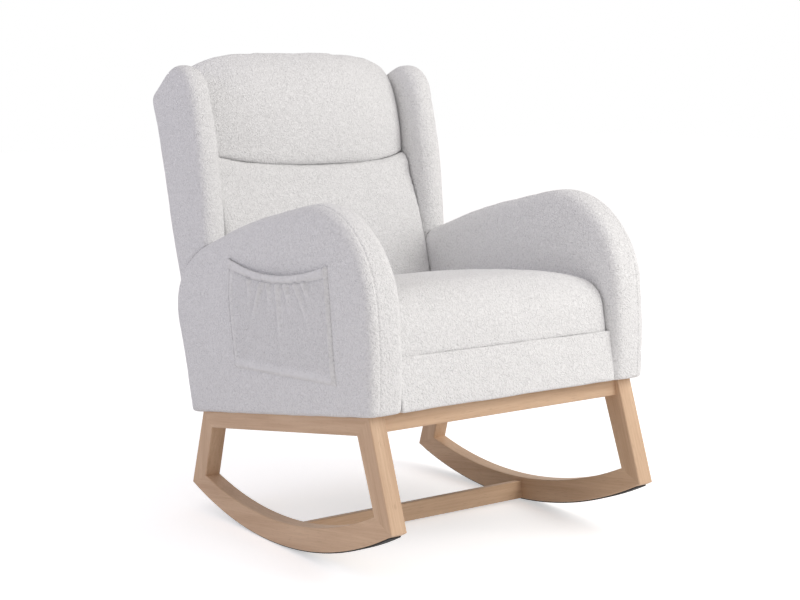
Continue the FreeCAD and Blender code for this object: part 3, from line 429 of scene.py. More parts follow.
def studio_floor():
    finish = bpy.data.materials.new("pale_floor")
    finish.use_nodes = True
    tree = finish.node_tree
    tree.nodes.clear()
    matt = wire(tree, "BsdfDiffuse", {"Color": FLOOR_COLOUR})
    shine = wire(tree, "Math", {0: seen_directly(tree), 1: FLOOR_GLOW}, operation="MULTIPLY")
    glow = wire(tree, "Emission", {"Strength": shine.outputs["Value"]})
    both = wire(tree, "AddShader", {0: matt.outputs[0], 1: glow.outputs[0]})
    wire(tree, "OutputMaterial", {"Surface": both.outputs[0]})
    shape = bmesh.new()
    bmesh.ops.create_grid(shape, x_segments=1, y_segments=1, size=FLOOR_SIZE)
    mesh = bpy.data.meshes.new("floor")
    shape.to_mesh(mesh)
    shape.free()
    mesh.materials.append(finish)
    floor = bpy.data.objects.new("floor", mesh)
    bpy.context.scene.collection.objects.link(floor)
    floor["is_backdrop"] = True


studio_floor()
print("floor reaches", FLOOR_SIZE, "m each way")

# %% [markdown]
# ## Helpers for soft forms
# A cushion starts as a closed blank. Voxel remeshing covers it with even squares, and smoothing takes the hard
# corners off where it is free. Pressure then swells it, as stuffing does under a cover. Foam is firm, so the swelling
# is scaled down to a few millimetres, and to nothing where the blank rests on a neighbour.

# %% Blanks
VOXEL = 0.006
NEAR = 0.02
HELD_BELOW = 0.15
MERGE_WITHIN = 0.00002


def link(name, mesh):
    made = bpy.data.objects.new(name, mesh)
    bpy.context.scene.collection.objects.link(made)
    return made


def mesh_of(shape, name):
    mesh = bpy.data.meshes.new(name)
    shape.to_mesh(mesh)
    shape.free()
    return mesh


def modified(mesh, modifiers):
    blank = link("blank", mesh)
    for kind, settings in modifiers:
        modifier = blank.modifiers.new(kind, kind)
        for name, value in settings.items():
            setattr(modifier, name, value)
    view = bpy.context.evaluated_depsgraph_get()
    shape = bmesh.new()
    shape.from_object(blank, view)
    bpy.data.objects.remove(blank)
    return shape


def copy_of(name):
    shape = bmesh.new()
    shape.from_mesh(nodes[name].data)
    bmesh.ops.remove_doubles(shape, verts=shape.verts, dist=MERGE_WITHIN)
    bmesh.ops.transform(shape, matrix=level, verts=shape.verts)
    return shape


print("copies merge points within", MERGE_WITHIN, "m")


# %% Room round a blank
def neighbours(own):
    points = []
    faces = []
    for name, node in nodes.items():
        if name not in own:
            start = len(points)
            points += [vertex.co.copy() for vertex in node.data.vertices]
            faces += [[start + index for index in face.vertices] for face in node.data.polygons]
    return BVHTree.FromPolygons(points, faces)


def room_round(shape, own):
    others = neighbours(own)
    room = []
    for vertex in shape.verts:
        distance = others.find_nearest(vertex.co, NEAR)[3]
        room.append(1.0 if distance is None else distance / NEAR)
    return room


def evened(shape, own, smoothing, voxel):
    even = modified(mesh_of(shape, "blank"), [("REMESH", {"mode": "VOXEL", "voxel_size": voxel})])
    bmesh.ops.transform(even, matrix=leaned, verts=even.verts)
    room = room_round(even, own)
    free = [vertex for vertex, share in zip(even.verts, room) if share > HELD_BELOW]
    for turn in range(smoothing):
        bmesh.ops.smooth_vert(even, verts=free, factor=0.5, use_axis_x=True, use_axis_y=True, use_axis_z=True)
    even.normal_update()
    return even, room


print("blank helpers ready, voxel", VOXEL)

# %% Stuffing
STEPS = 14
PRESSURE = 4.0
FULL_SWELL = 0.97
stuffing = {}


def prepare(name, shape, own, proud, smoothing=4, voxel=VOXEL):
    even, room = evened(shape, own, smoothing, voxel)
    blank = link(name + "_blank", mesh_of(even, name + "_blank"))
    held = blank.vertex_groups.new(name="held")
    held.add([index for index, share in enumerate(room) if share < HELD_BELOW], 1.0, "REPLACE")
    stuffing[name] = {"blank": blank, "room": room, "proud": proud}
    print(name, "blank has", len(room), "points")


def add_cloth(blank):
    modifier = blank.modifiers.new("stuffing", "CLOTH")
    modifier.settings.use_pressure = True
    modifier.settings.uniform_pressure_force = PRESSURE
    modifier.settings.vertex_group_mass = "held"
    modifier.settings.effector_weights.gravity = 0.0
    modifier.point_cache.frame_start = 1
    modifier.point_cache.frame_end = STEPS


def stuff_all():
    for job in stuffing.values():
        add_cloth(job["blank"])
    for step in range(1, STEPS + 1):
        bpy.context.scene.frame_set(step)
    view = bpy.context.evaluated_depsgraph_get()
    for job in stuffing.values():
        swollen = job["blank"].evaluated_get(view).data
        job["moved"] = [vertex.co.copy() for vertex in swollen.vertices]
    for job in stuffing.values():
        job["blank"].modifiers.clear()
    bpy.context.scene.frame_set(1)


def stuffed(name):
    job = stuffing[name]
    shape = bmesh.new()
    shape.from_mesh(job["blank"].data)
    if "moved" in job:
        steps = [moved - vertex.co for vertex, moved in zip(shape.verts, job["moved"])]
        lengths = sorted(step.length for step in steps)
        firmness = job["proud"] / lengths[int(FULL_SWELL * len(lengths))]
        for vertex, step, share in zip(shape.verts, steps, job["room"]):
            vertex.co += step * firmness * share
    bpy.data.objects.remove(job["blank"])
    shape.normal_update()
    return shape


print("stuffing takes", STEPS, "steps")


# %% Finishing a soft piece
def unevened(shape, waves):
    for length, height in waves:
        for vertex in shape.verts:
            vertex.co += vertex.normal * noise.noise(vertex.co / length) * height
        shape.normal_update()


def soft_piece(name, shape, body, fill, *stands_for):
    for face in shape.faces:
        face.smooth = True
    piece = link(name, mesh_of(shape, name))
    piece.data.materials.append(cloth)
    finer = piece.modifiers.new("finer", "SUBSURF")
    finer.levels = 1
    finer.render_levels = 1
    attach(piece, body)
    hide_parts(*stands_for)
    print(name, "has", len(piece.data.polygons), "faces before its last subdivision")


print("soft pieces take the finish", cloth.name)

# %% [markdown]
# ## Arms
# Each arm is a foam-covered panel that rolls over in front. Its outline is a chain of arcs that run into each other:
# up the front, over the crest and gently down to the back. Spinning one point about each arc's centre draws the
# chain. Copies of it are then laid side by side like slices of bread, and drawn in towards the two outer slices, so
# that the bridged form has wide round rims on top, narrower ones in front and behind and hardly any at the foot.

# %% Outlines from arcs
def meet_radius(run, rise):
    return (run * run + rise * rise) / (2 * rise)


REAR_OUT = Vector((1, -BACK_SLOPE)).normalized()
REAR_UP = Vector((BACK_SLOPE, 1)).normalized()


def rear_at(height):
    return BACK_FOOT + BACK_SLOPE * (height - RAIL_TOP)


def swing(shape, start, centre, end, steps):
    first = Vector((start.co.y - centre[0], start.co.z - centre[1]))
    last = Vector((end[0] - centre[0], end[1] - centre[1]))
    angle = math.atan2(first.x * last.y - first.y * last.x, first.dot(last))
    hub = (start.co.x, centre[0], centre[1])
    spun = bmesh.ops.spin(shape, geom=[start], cent=hub, axis=(1, 0, 0), angle=angle, steps=steps)
    return spun["geom_last"][0]


def straight(shape, start, end):
    tip = shape.verts.new((start.co.x, end[0], end[1]))
    shape.edges.new((start, tip))
    return tip


print("the rear edge stands at", round(rear_at(RAIL_TOP), 3), "m at its foot")

# %% Slices with round rims
SLICES = 9
SHARP_TURN = 0.4


def eased(share):
    share = min(1.0, max(0.0, share))
    return share * share * (3 - 2 * share)


def drawn_in(rim, depth):
    return rim - math.sqrt(max(0.0, rim * rim - (rim - depth) ** 2)) if depth < rim else 0.0


def pushes_at(before, spot, after, rim_at, outer):
    sides = []
    for start, end in ((before, spot), (spot, after)):
        along = (end - start).normalized()
        sides.append((Vector((along.y, -along.x)), rim_at((start + end) / 2, outer)))
    (first, first_rim), (second, second_rim) = sides
    turn = first.x * second.y - first.y * second.x
    if abs(turn) < SHARP_TURN:
        half = (first + second) / 2
        return [(half * 0.5, first_rim), (half * 0.5, second_rim)]
    along_second = Vector((second.y, -second.x)) / turn
    along_first = Vector((-first.y, first.x)) / turn
    return [(along_second, first_rim), (along_first, second_rim)]


def sliced(shape, first, last, thickness, rim_at):
    shape.edges.new((last, first))
    chain = shape.verts[:]
    outline = chain + shape.edges[:]
    spots = [Vector(vertex.co.yz) for vertex in chain]
    pushes = {False: [], True: []}
    for index, spot in enumerate(spots):
        for outer in pushes:
            push = pushes_at(spots[index - 1], spot, spots[(index + 1) % len(spots)], rim_at, outer)
            pushes[outer].append(push)
    half = thickness / 2
    rings = []
    for turn in range(-SLICES, SLICES + 1):
        depth = half * (1 - math.sin(math.pi / 2 * abs(turn) / SLICES))
        across = half + math.copysign(half - depth, turn)
        copy = bmesh.ops.duplicate(shape, geom=outline)
        for vertex, spot, push in zip(chain, spots, pushes[turn > 0]):
            moved = spot.copy()
            for step, rim in push:
                moved += step * drawn_in(rim, depth)
            copy["vert_map"][vertex].co = (vertex.co.x + across, moved.x, moved.y)
        rings.append([item for item in copy["geom"] if isinstance(item, bmesh.types.BMEdge)])
    for ring, beside in zip(rings, rings[1:]):
        bmesh.ops.bridge_loops(shape, edges=ring + beside)
    for ring in (rings[0], rings[-1]):
        bmesh.ops.contextual_create(shape, geom=ring)
    bmesh.ops.delete(shape, geom=chain, context="VERTS")
    bmesh.ops.recalc_face_normals(shape, faces=shape.faces)


print("a form has", 2 * SLICES + 1, "slices")

# %% Arm form
ARM_INNER = 0.257
ARM_THICKNESS = 0.077
ARM_FOOT_FRONT = -0.301
ARM_FRONT = -0.326
ARM_FRONT_RADIUS = 0.190
ARM_CREST = 0.664
ARM_REAR_TOP = 0.580
ARM_REAR_ROUND = 0.135
ARM_RIM = 0.035
INNER_FRONT_RIM = 0.018
OUTER_FRONT_RIM = 0.015
CREST_RIM = 0.028
CREST_RIM_FROM = 0.46
CREST_RIM_OVER = 0.18
FRONT_RIM_REACH = 0.34
FRONT_RIM_OVER = 0.24
REAR_RIM = 0.012
REAR_RIM_OVER = 0.10
FOOT_RIM = 0.004
FOOT_EDGE = 0.001


def arm_rim(spot, outer):
    if spot.y < RAIL_TOP + FOOT_EDGE:
        return FOOT_RIM
    front = OUTER_FRONT_RIM if outer else INNER_FRONT_RIM
    front += (CREST_RIM - front) * eased((spot.y - CREST_RIM_FROM) / CREST_RIM_OVER)
    wide = ARM_RIM + (front - ARM_RIM) * eased((ARM_FRONT + FRONT_RIM_REACH - spot.x) / FRONT_RIM_OVER)
    return REAR_RIM + (wide - REAR_RIM) * eased((rear_at(spot.y) - spot.x) / REAR_RIM_OVER)


def arm_form():
    shape = bmesh.new()
    bend = ARM_CREST - ARM_FRONT_RADIUS
    roll = ARM_FRONT + ARM_FRONT_RADIUS
    shin = meet_radius(bend - RAIL_TOP, ARM_FOOT_FRONT - ARM_FRONT)
    fall = meet_radius(rear_at(ARM_REAR_TOP) - roll, ARM_CREST - ARM_REAR_TOP)
    first = shape.verts.new((ARM_INNER, ARM_FOOT_FRONT, RAIL_TOP))
    tip = swing(shape, first, (ARM_FRONT + shin, bend), (ARM_FRONT, bend), steps=8)
    tip = swing(shape, tip, (roll, bend), (roll, ARM_CREST), steps=18)
    fall_hub = Vector((roll, ARM_CREST - fall))
    inset_rear = Vector((rear_at(0), 0)) - REAR_OUT * ARM_REAR_ROUND - fall_hub
    inset_fall = fall - ARM_REAR_ROUND
    low = -inset_rear.dot(REAR_UP)
    along = low + math.sqrt(low ** 2 - inset_rear.length_squared + inset_fall ** 2)
    corner_hub = fall_hub + inset_rear + REAR_UP * along
    tip = swing(shape, tip, fall_hub, fall_hub + (corner_hub - fall_hub).normalized() * fall, steps=24)
    tip = swing(shape, tip, corner_hub, corner_hub + REAR_OUT * ARM_REAR_ROUND, steps=8)
    tip = straight(shape, tip, (rear_at(RAIL_TOP), RAIL_TOP))
    sliced(shape, first, tip, ARM_THICKNESS, arm_rim)
    return shape


arm_own = ("right_arm_pad", "right_arm_frame", "right_side_pocket", "arm_bolts", "wing_bolts")
prepare("arm", arm_form(), arm_own, proud=0.005, smoothing=2)

# %% [markdown]
# ## Wings
# A wing is a padded ear beside the head. It is drawn like the arm, from arcs, and stands astride the arm's top. The
# arm's own form is cut out of its foot, so that the two covers meet in one clean crease all round.

# %% Wing form
WING_INNER = 0.258
WING_THICKNESS = 0.057
WING_FOOT = 0.465
WING_FRONT_FOOT = 0.322
WING_FRONT_TOP = 0.290
WING_FRONT_TOP_HEIGHT = 0.939
WING_CREST_REACH = 0.366
WING_CREST = 1.004
WING_SLOPE = 0.52
WING_CORNER = 0.024
INNER_WING_RIM = 0.028
OUTER_WING_RIM = 0.018
WING_REAR_FLAT = 0.03
WING_REAR_OVER = 0.08


def wing_outline(shape):
    front_radius = meet_radius(WING_CREST_REACH - WING_FRONT_TOP, WING_CREST - WING_FRONT_TOP_HEIGHT)
    front_hub = Vector((WING_CREST_REACH, WING_CREST - front_radius))
    front_top = Vector((WING_FRONT_TOP, WING_FRONT_TOP_HEIGHT))
    foot = Vector((WING_FRONT_FOOT, WING_FOOT))
    inward = (front_hub - front_top).normalized()
    chord = foot - front_top
    bow_radius = chord.length_squared / (2 * chord.dot(inward))
    bow_hub = front_top + inward * bow_radius
    slope_out = Vector((WING_SLOPE, 1)).normalized()
    slope_reach = front_hub.dot(slope_out) + front_radius - WING_CORNER
    inset_rear = Vector((rear_at(0), 0)) - REAR_OUT * WING_CORNER
    corner_hub = inset_rear + REAR_UP * (slope_reach - inset_rear.dot(slope_out)) / REAR_UP.dot(slope_out)
    first = shape.verts.new((WING_INNER, foot.x, foot.y))
    tip = swing(shape, first, bow_hub, front_top, steps=14)
    tip = swing(shape, tip, front_hub, front_hub + slope_out * front_radius, steps=12)
    tip = straight(shape, tip, corner_hub + slope_out * WING_CORNER)
    tip = swing(shape, tip, corner_hub, corner_hub + REAR_OUT * WING_CORNER, steps=8)
    tip = straight(shape, tip, (rear_at(WING_FOOT), WING_FOOT))
    return first, tip


def wing_rim(spot, outer):
    if spot.y < WING_FOOT + FOOT_EDGE:
        return FOOT_RIM
    wide = OUTER_WING_RIM if outer else INNER_WING_RIM
    return REAR_RIM + (wide - REAR_RIM) * eased((rear_at(spot.y) - spot.x - WING_REAR_FLAT) / WING_REAR_OVER)


def wing_form():
    shape = bmesh.new()
    first, tip = wing_outline(shape)
    sliced(shape, first, tip, WING_THICKNESS, wing_rim)
    arm = link("wing_seat", mesh_of(arm_form(), "wing_seat"))
    cut = ("BOOLEAN", {"operation": "DIFFERENCE", "object": arm, "solver": "EXACT"})
    saddled = modified(mesh_of(shape, "wing_blank"), [cut])
    bpy.data.objects.remove(arm)
    return saddled


wing_own = ("right_wing_pad", "right_wing_frame", "wing_bolts", "right_arm_frame")
prepare("wing", wing_form(), wing_own, proud=0.004, smoothing=2)

# %% [markdown]
# ## Seat, back, head, footrest pad and footrest front
# These cushions lie in the frame with the shapes that the CAD solids already have: a crowned seat with a round nose,
# a back with a dipping top seam, and a head roll that hangs over that seam. Copies of the solids are the blanks, with
# the crease of the back filled a little, the top of the head lifted, and a seam between them that rises to the left.
# Only the footrest front is drawn anew, as a bevelled block with a thin lip at each end that closes the gap to the
# arms.

# %% Back and head forms
BACK_SEAM = 0.500
BACK_SEAM_RISE = 0.028
BACK_HALF_WIDTH = 0.25
CREASE_FILL = 0.010
CREASE_REACH = 0.06
CREASE_FRONT = 0.06
CREASE_OVER = 0.03
HEAD_LIFT = 0.005
HEAD_LIFT_FROM = 0.62
HEAD_LIFT_OVER = 0.08
SEAM_TILT = 0.009
SEAM_TILT_REACH = 0.12
back_place = level @ raked


def moved_in_back(shape, step_at):
    bmesh.ops.transform(shape, matrix=back_place.inverted(), verts=shape.verts)
    for vertex in shape.verts:
        vertex.co += step_at(vertex.co)
    bmesh.ops.transform(shape, matrix=back_place, verts=shape.verts)
    return shape


def from_seam(spot):
    return spot.z - BACK_SEAM - BACK_SEAM_RISE * (spot.x / BACK_HALF_WIDTH) ** 2


def tilt_at(spot):
    return SEAM_TILT * eased(-spot.x / BACK_HALF_WIDTH) * eased(1 - abs(from_seam(spot)) / SEAM_TILT_REACH)


def crease_step(spot):
    in_front = eased((-spot.y - CREASE_FRONT) / CREASE_OVER)
    forward = -CREASE_FILL * in_front * eased(1 - abs(from_seam(spot)) / CREASE_REACH)
    return Vector((0, forward, tilt_at(spot)))


def crown_step(spot):
    return Vector((0, 0, HEAD_LIFT * eased((spot.z - HEAD_LIFT_FROM) / HEAD_LIFT_OVER) + tilt_at(spot)))


back_form = moved_in_back(copy_of("back_cushion"), crease_step)
head_form = moved_in_back(copy_of("head_cushion"), crown_step)
print("back and head forms", len(back_form.verts), len(head_form.verts))

# %% Footrest front form
FRONT_ROUND = 0.0035
FRONT_LIP = 0.004
LIP_DEPTH = 0.008
FRONT_VOXEL = 0.0026
FRONT_SIDE_COVER = 0.0013
FRONT_FOOT_COVER = 0.0020
FRONT_TOP_COVER = 0.0006


def footrest_front_form():
    low, high = box_in(level, "footrest_front_panel")
    low -= Vector((FRONT_SIDE_COVER, 0, FRONT_FOOT_COVER))
    high += Vector((FRONT_SIDE_COVER, 0, FRONT_TOP_COVER))
    shape = bmesh.new()
    bmesh.ops.create_cube(shape, size=1.0)
    bmesh.ops.scale(shape, vec=high - low, verts=shape.verts)
    bmesh.ops.translate(shape, vec=(low + high) / 2, verts=shape.verts)
    bmesh.ops.bevel(
        shape, geom=shape.edges[:], offset=FRONT_ROUND, affect="EDGES", segments=3, profile=0.5, material=-1
    )
    for vertex in shape.verts:
        ahead = eased(1 - (vertex.co.y - low.y) / LIP_DEPTH)
        vertex.co.x += math.copysign(FRONT_LIP * ahead, vertex.co.x)
    return shape


front_form = footrest_front_form()
print("footrest front form has", len(front_form.faces), "faces")

# %% Cushion blanks
prepare("seat", copy_of("seat_cushion"), ("seat_cushion", "seat_webbing"), proud=0.004)
prepare("back", back_form, ("back_cushion",), proud=0.008)
prepare("head", head_form, ("head_cushion",), proud=0.011)
prepare("footrest_pad", copy_of("footrest_pad"), ("footrest_pad",), proud=0.004)
front_own = ("footrest_front_panel",)
prepare("footrest_front", front_form, front_own, proud=0.002, smoothing=0, voxel=FRONT_VOXEL)

# %% [markdown]
# ## Pressing the stuffing in
# Blender's cloth solver treats each blank as a closed bag with air pressure inside. All the bags are swollen in one
# run, because Blender then works on them side by side.

# %% The simulation
stuff_all()
print("stuffed", list(stuffing))

# %% [markdown]
# ## Seat, back, head and footrest covers
# No cover is quite smooth, so two sizes of noise make each of them a little uneven. The foot of the seat is then
# drawn down again, so that only a thin line is left between the seat and the footrest front.

# %% Seat, back, head and footrest covers
WAVES = [(0.11, 0.0016), (0.04, 0.0006)]
FOOT_HEIGHT = 0.016
FOOT_HOLD = 0.8


def settled(shape):
    bmesh.ops.transform(shape, matrix=level, verts=shape.verts)
    foot = min(vertex.co.z for vertex in shape.verts)
    for vertex in shape.verts:
        above = vertex.co.z - foot
        vertex.co.z -= FOOT_HOLD * above * eased(1 - above / FOOT_HEIGHT)
    bmesh.ops.transform(shape, matrix=leaned, verts=shape.verts)
    shape.normal_update()


def cushion(name, job, body, fill, stands_for):
    shape = stuffed(job)
    unevened(shape, WAVES)
    if job == "seat":
        settled(shape)
    soft_piece(name, shape, body, fill, stands_for)


cushion("seat_cover", "seat", "chair", fill=0.8, stands_for="seat_cushion")
cushion("back_cover", "back", "chair", fill=0.7, stands_for="back_cushion")
cushion("head_cover", "head", "chair", fill=0.75, stands_for="head_cushion")
cushion("footrest_pad_cover", "footrest_pad", "footrest", fill=0.7, stands_for="footrest_pad")
cushion("footrest_front_cover", "footrest_front", "footrest", fill=0.6, stands_for="footrest_front_panel")

# %% [markdown]
# ## Arm and wing covers
# The arm's cover has a flat outer panel, sewn to the piece that wraps its front and inside. The seam runs up the
# front and over the crest, near the outer edge. Three cuts with a plane give the cover three rings of points there,
# and the middle ring is drawn in. The stuffed right arm and wing are mirrored for the left side.

# %% Arm seam and mirrored pairs
ARM_SEAM = 0.3135
SEAM_HALF_WIDTH = 0.0032
SEAM_DEPTH = 0.0022
CUT_WITHIN = 0.0004
PANEL_FILL = 0.85


def sewn(shape, across):
    bmesh.ops.transform(shape, matrix=level, verts=shape.verts)
    rings = {}
    for shift in (-SEAM_HALF_WIDTH, 0.0, SEAM_HALF_WIDTH):
        everything = shape.verts[:] + shape.edges[:] + shape.faces[:]
        ring = bmesh.ops.bisect_plane(
            shape, geom=everything, dist=CUT_WITHIN, plane_co=(across + shift, 0, 0), plane_no=(1, 0, 0)
        )["geom_cut"]
        rings[shift] = [item for item in ring if isinstance(item, bmesh.types.BMVert)]
    shape.normal_update()
    for vertex in rings[0.0]:
        vertex.co -= vertex.normal * SEAM_DEPTH
    bmesh.ops.transform(shape, matrix=leaned, verts=shape.verts)
    shape.normal_update()


def mirrored(shape):
    other = shape.copy()
    bmesh.ops.scale(other, vec=(-1, 1, 1), verts=other.verts)
    bmesh.ops.recalc_face_normals(other, faces=other.faces)
    return other


right_arm = stuffed("arm")
unevened(right_arm, WAVES)
arm_skin = BVHTree.FromBMesh(right_arm)
left_arm = mirrored(right_arm)
sewn(right_arm, ARM_SEAM)
sewn(left_arm, -ARM_SEAM)
soft_piece("right_arm_cover", right_arm, "chair", PANEL_FILL, "right_arm_pad")
soft_piece("left_arm_cover", left_arm, "chair", PANEL_FILL, "left_arm_pad")
right_wing = stuffed("wing")
unevened(right_wing, WAVES)
left_wing = mirrored(right_wing)
soft_piece("right_wing_cover", right_wing, "chair", PANEL_FILL, "right_wing_pad")
soft_piece("left_wing_cover", left_wing, "chair", PANEL_FILL, "left_wing_pad")

# %% [markdown]
# ## Side pockets
# A flat pocket is sewn to the outside of each arm along its sides and foot. Elastic in its hem gathers the mouth, so
# the hem ripples, the mouth droops and short folds fan out below it. A grid is laid over the four corners of the
# pocket, and each of its points is pushed out from the arm's skin by the bulge, the seam ridges, the hem and the
# folds. The same lines set an attribute that paints light and shade into the cloth: painted light on the hem, the
# fold crests and the seam ridges, and painted shade beside the folds, under the hem stitching, along the seam lines
# and over the rest of the pocket.

# %% Pocket outline
POCKET_CORNERS = {
    "rear_top": Vector((0.152, 0.583)),
    "front_top": Vector((-0.213, 0.545)),
    "front_foot": Vector((-0.207, 0.324)),
    "rear_foot": Vector((0.167, 0.361)),
}
POCKET_DROOP = 0.025
POCKET_BOW = 0.008


def pocket_spot(along, up):
    foot = POCKET_CORNERS["rear_foot"].lerp(POCKET_CORNERS["front_foot"], along)
    top = POCKET_CORNERS["rear_top"].lerp(POCKET_CORNERS["front_top"], along)
    spot = foot.lerp(top, up)
    spot.x += POCKET_BOW * math.sin(math.pi * up) * (1 - along)
    spot.y -= POCKET_DROOP * 4 * along * (1 - along) * up ** 2
    return spot


mouth = POCKET_CORNERS["rear_top"] - POCKET_CORNERS["front_top"]
print("pocket mouth is", round(mouth.length, 3), "m wide")

# %% Seam ridges and folds
FRONT_RIDGE = {"at": 0.984, "width": 0.012, "proud": 0.0065}
REAR_RIDGE = {"at": 0.016, "width": 0.010, "proud": 0.0048}
REAR_INNER_RIDGE = {"at": 0.046, "width": 0.011, "proud": 0.0042}
FOOT_RIDGE = {"at": 0.05, "width": 0.035, "proud": 0.0042}
HEM_SHARE = 0.085
FOLD_PROUD = 0.0090
FOLD_WIDTH = 0.015
FOLDS = [
    {"from": 0.26, "lean": -0.10, "reach": 0.14},
    {"from": 0.40, "lean": -0.34, "reach": 0.25},
    {"from": 0.465, "lean": -0.08, "reach": 0.15},
    {"from": 0.556, "lean": -0.05, "reach": 0.34},
    {"from": 0.63, "lean": 0.02, "reach": 0.14},
    {"from": 0.72, "lean": 0.20, "reach": 0.22},
    {"from": 0.80, "lean": 0.10, "reach": 0.12},
]


def bell(value, centre, width):
    return math.exp(-((value - centre) / width) ** 2)


def ridge(value, line):
    return line["proud"] * bell(value, line["at"], line["width"])


def seam_ridges(along, up):
    rear = ridge(along, REAR_RIDGE) + ridge(along, REAR_INNER_RIDGE)
    return max(ridge(along, FRONT_RIDGE), rear, ridge(up, FOOT_RIDGE))


def gathered_folds(along, up):
    below_hem = max(0.0, 1 - HEM_SHARE - up)
    push = 0.0
    for fold in FOLDS:
        crest = bell(along, fold["from"] + fold["lean"] * below_hem, FOLD_WIDTH)
        push += FOLD_PROUD * crest * bell(below_hem, 0.0, fold["reach"])
    return push


print("the pocket has", len(FOLDS), "folds")

# %% Hem and bulge
HEM_PROUD = 0.006
HEM_END = 0.3
HEM_END_REACH = 0.22
RIPPLES = 24
RIPPLE_PROUD = 0.0012
RIPPLE_DRIFT = 2
RIPPLE_DRIFT_RATE = 9
POCKET_CLOTH = 0.0016
POCKET_BULGE = 0.007
BULGE_FLATNESS = 0.7
BULGE_FOOT = 0.3
STITCH_DEPTH = 0.0014
STITCH_WIDTH = 0.014
SIDE_SEAM = 0.014
FOOT_SEAM = 0.03
SEAM_SINK = 0.0024


def gathered_hem(along, up):
    inside = (1 - up) / HEM_SHARE
    slack = HEM_END + (1 - HEM_END) * eased(min(along, 1 - along) / HEM_END_REACH)
    roll = HEM_PROUD * slack * math.sin(math.pi * min(1.0, inside)) ** 0.5
    wave = math.cos(2 * math.pi * RIPPLES * along + RIPPLE_DRIFT * math.sin(RIPPLE_DRIFT_RATE * along))
    return roll + RIPPLE_PROUD * wave * math.sin(math.pi * along)


def pocket_push(along, up):
    side = min(along, 1 - along)
    fullness = BULGE_FOOT + (1 - BULGE_FOOT) * up
    relief = POCKET_BULGE * math.sin(math.pi * along) ** BULGE_FLATNESS * fullness
    relief += gathered_hem(along, up) if up > 1 - HEM_SHARE else gathered_folds(along, up)
    relief += -STITCH_DEPTH * bell(up, 1 - HEM_SHARE, STITCH_WIDTH)
    relief += seam_ridges(along, up)
    sewn_down = 1 - min(1.0, side / SIDE_SEAM, up / FOOT_SEAM)
    return POCKET_CLOTH + (1 - sewn_down) * relief - sewn_down * SEAM_SINK


print("hem stands", HEM_PROUD, "m proud with", RIPPLES, "ripples")

# %% Painted light and shade of the pocket
HEM_PAINTED_LIGHT = 0.4
POCKET_PAINTED_SHADE = -0.25
FOLD_PAINTED_LIGHT_REACH = 1.4
CREST_PAINTED_LIGHT_WIDTH = 0.8
FOLD_PAINTED_SHADE = 0.6
FOLD_PAINTED_SHADE_SHIFT = 1.8
STITCH_PAINTED_SHADE = 0.6
STITCH_PAINTED_SHADE_WIDTH = 0.02
RIDGE_PAINTED_LIGHT_PROUD = 0.005
SEAM_PAINTED_SHADE_LINES = (1.0, 0.030)
SEAM_PAINTED_SHADE_WIDTH = 0.006


# Painted light on the hem, the fold crests and the seam ridges; painted shade beside the folds, under the hem
# stitching, along two seam lines and over the rest of the pocket.
def painted_pocket_shading_at(along, up):
    if up > 1 - HEM_SHARE:
        return HEM_PAINTED_LIGHT
    below_hem = 1 - HEM_SHARE - up
    lift = POCKET_PAINTED_SHADE
    for fold in FOLDS:
        middle = fold["from"] + fold["lean"] * below_hem
        crest = bell(along, middle, FOLD_WIDTH * CREST_PAINTED_LIGHT_WIDTH)
        crest -= FOLD_PAINTED_SHADE * bell(along, middle - FOLD_WIDTH * FOLD_PAINTED_SHADE_SHIFT, FOLD_WIDTH)
        lift += crest * bell(below_hem, 0.0, fold["reach"] * FOLD_PAINTED_LIGHT_REACH)
    lift -= STITCH_PAINTED_SHADE * bell(below_hem, 0.0, STITCH_PAINTED_SHADE_WIDTH)
    lift += seam_ridges(along, up) / RIDGE_PAINTED_LIGHT_PROUD
    for line in SEAM_PAINTED_SHADE_LINES:
        lift -= bell(along, line, SEAM_PAINTED_SHADE_WIDTH)
    return lift


# The hem is painted lighter by this share: painted light.
print("nap is raised by", HEM_PAINTED_LIGHT, "along the hem")

# %% Sheets and pockets
POCKET_COLUMNS = 180
POCKET_ROWS = 110
POCKET_WALL = 0.0015
BESIDE_ARM = 0.45


def faced(shape, axis, sign):
    bmesh.ops.recalc_face_normals(shape, faces=shape.faces)
    shape.faces.ensure_lookup_table()
    if shape.faces[0].normal[axis] * sign < 0:
        bmesh.ops.reverse_faces(shape, faces=shape.faces)


def pocket_form():
    shape = bmesh.new()
    bmesh.ops.create_grid(shape, x_segments=POCKET_COLUMNS, y_segments=POCKET_ROWS, size=0.5)
    painted_lighter = shape.verts.layers.float.new("painted_lighter")
    for vertex in shape.verts:
        along = vertex.co.x + 0.5
        up = vertex.co.y + 0.5
        spot = pocket_spot(along, up)
        outside = leaned @ Vector((BESIDE_ARM, spot.x, spot.y))
        skin = arm_skin.ray_cast(outside, Vector((-1, 0, 0)))[0]
        vertex.co = skin + Vector((pocket_push(along, up), 0, 0))
        # Stores the pocket's painted light and shade for the cloth finish.
        vertex[painted_lighter] = painted_pocket_shading_at(along, up)
    return shape


def sheet_piece(name, shape, thickness, finish, body, stands_for):
    for face in shape.faces:
        face.smooth = True
    piece = link(name, mesh_of(shape, name))
    piece.data.materials.append(finish)
    wall = piece.modifiers.new("wall", "SOLIDIFY")
    wall.thickness = thickness
    wall.offset = -1.0
    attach(piece, body)
    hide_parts(stands_for)
    return piece


right_pocket = pocket_form()
left_pocket = mirrored(right_pocket)
faced(right_pocket, 0, 1)
faced(left_pocket, 0, -1)
for side, shape in (("right", right_pocket), ("left", left_pocket)):
    name = side + "_pocket_cover"
    pocket = sheet_piece(name, shape, POCKET_WALL, cloth, "chair", side + "_side_pocket")
    print(name, "has", len(pocket.data.polygons), "faces")

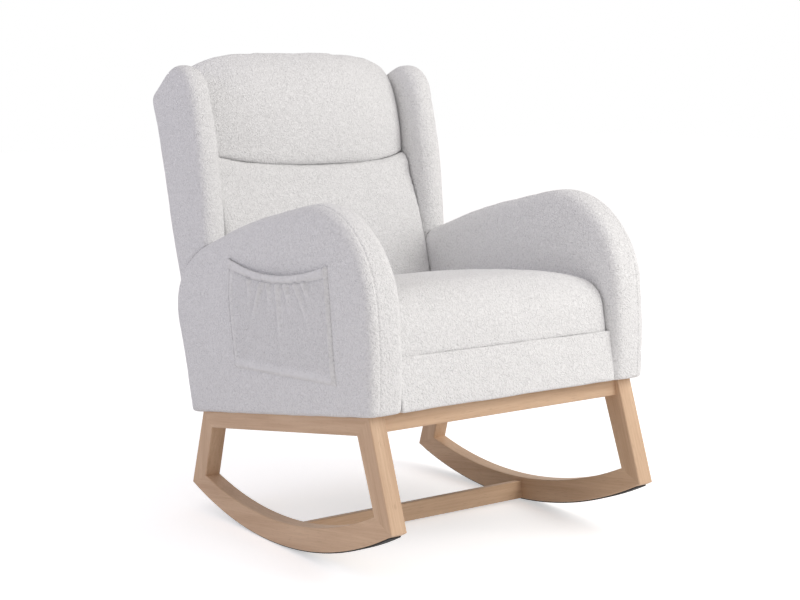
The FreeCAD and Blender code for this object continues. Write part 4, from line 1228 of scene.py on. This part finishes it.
# %% [markdown]
# ## Rear cover and dust cover
# Two cloths are stretched over the frame: the looped cloth closes the back, and a thin felt closes the seat box from
# below. Each is a grid that is pulled tight at its rim and gives way outwards a little in the middle. The rear cloth
# laps past its solid at the sides and the top, which hides most of the wood beside it.

# %% Stretched cloth
SLACK_FLATNESS = 0.4


def slack_share(value, low, high):
    share = (value - low) / (high - low)
    return (4 * share * (1 - share)) ** SLACK_FLATNESS if 0 < share < 1 else 0.0


def stretched_cloth(low, high, axes, segments, rim, give):
    across, up, out = axes
    shape = bmesh.new()
    bmesh.ops.create_grid(shape, x_segments=segments[0], y_segments=segments[1], size=0.5)
    for vertex in shape.verts:
        spot = (low + high) / 2
        spot[across] = low[across] + (high[across] - low[across]) * (vertex.co.x + 0.5)
        spot[up] = low[up] + (high[up] - low[up]) * (vertex.co.y + 0.5)
        vertex.co = spot
        slack = slack_share(vertex.co[across], low[across], high[across])
        slack *= slack_share(vertex.co[up], low[up], high[up])
        vertex.co[out] = rim + give * slack
    return shape


print("slack in the middle of a cloth is", slack_share(0.5, 0.0, 1.0))

# %% Rear cover
SIDE_LAP = 0.005
TOP_LAP = 0.008
REAR_GIVE = 0.0035
REAR_WALL = 0.002
REAR_SEGMENTS = (60, 80)
WIDTH, DEPTH, HEIGHT = 0, 1, 2

low, high = box_in(raked.inverted(), "rear_cover")
low.x -= SIDE_LAP
high += Vector((SIDE_LAP, 0, TOP_LAP))
rear = stretched_cloth(low, high, (WIDTH, HEIGHT, DEPTH), REAR_SEGMENTS, high.y - REAR_GIVE, REAR_GIVE)
bmesh.ops.transform(rear, matrix=raked, verts=rear.verts)
faced(rear, DEPTH, 1)
cover = sheet_piece("rear_cloth", rear, REAR_WALL, cloth, "chair", "rear_cover")

# %% Dust cover
DUST_RIM = 0.0008
DUST_GIVE = 0.0006
DUST_WALL = 0.0006
DUST_SEGMENTS = (50, 50)

low, high = box_in(level, "dust_cover")
dust = stretched_cloth(low, high, (WIDTH, DEPTH, HEIGHT), DUST_SEGMENTS, low.z + DUST_RIM, -DUST_GIVE)
bmesh.ops.transform(dust, matrix=leaned, verts=dust.verts)
faced(dust, HEIGHT, -1)
felt_sheet = sheet_piece("dust_felt_sheet", dust, DUST_WALL, felt, "chair", "dust_cover")

# %% Box of the dressed chair
low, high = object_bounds()
print("dressed box", [round(side, 3) for side in high - low])
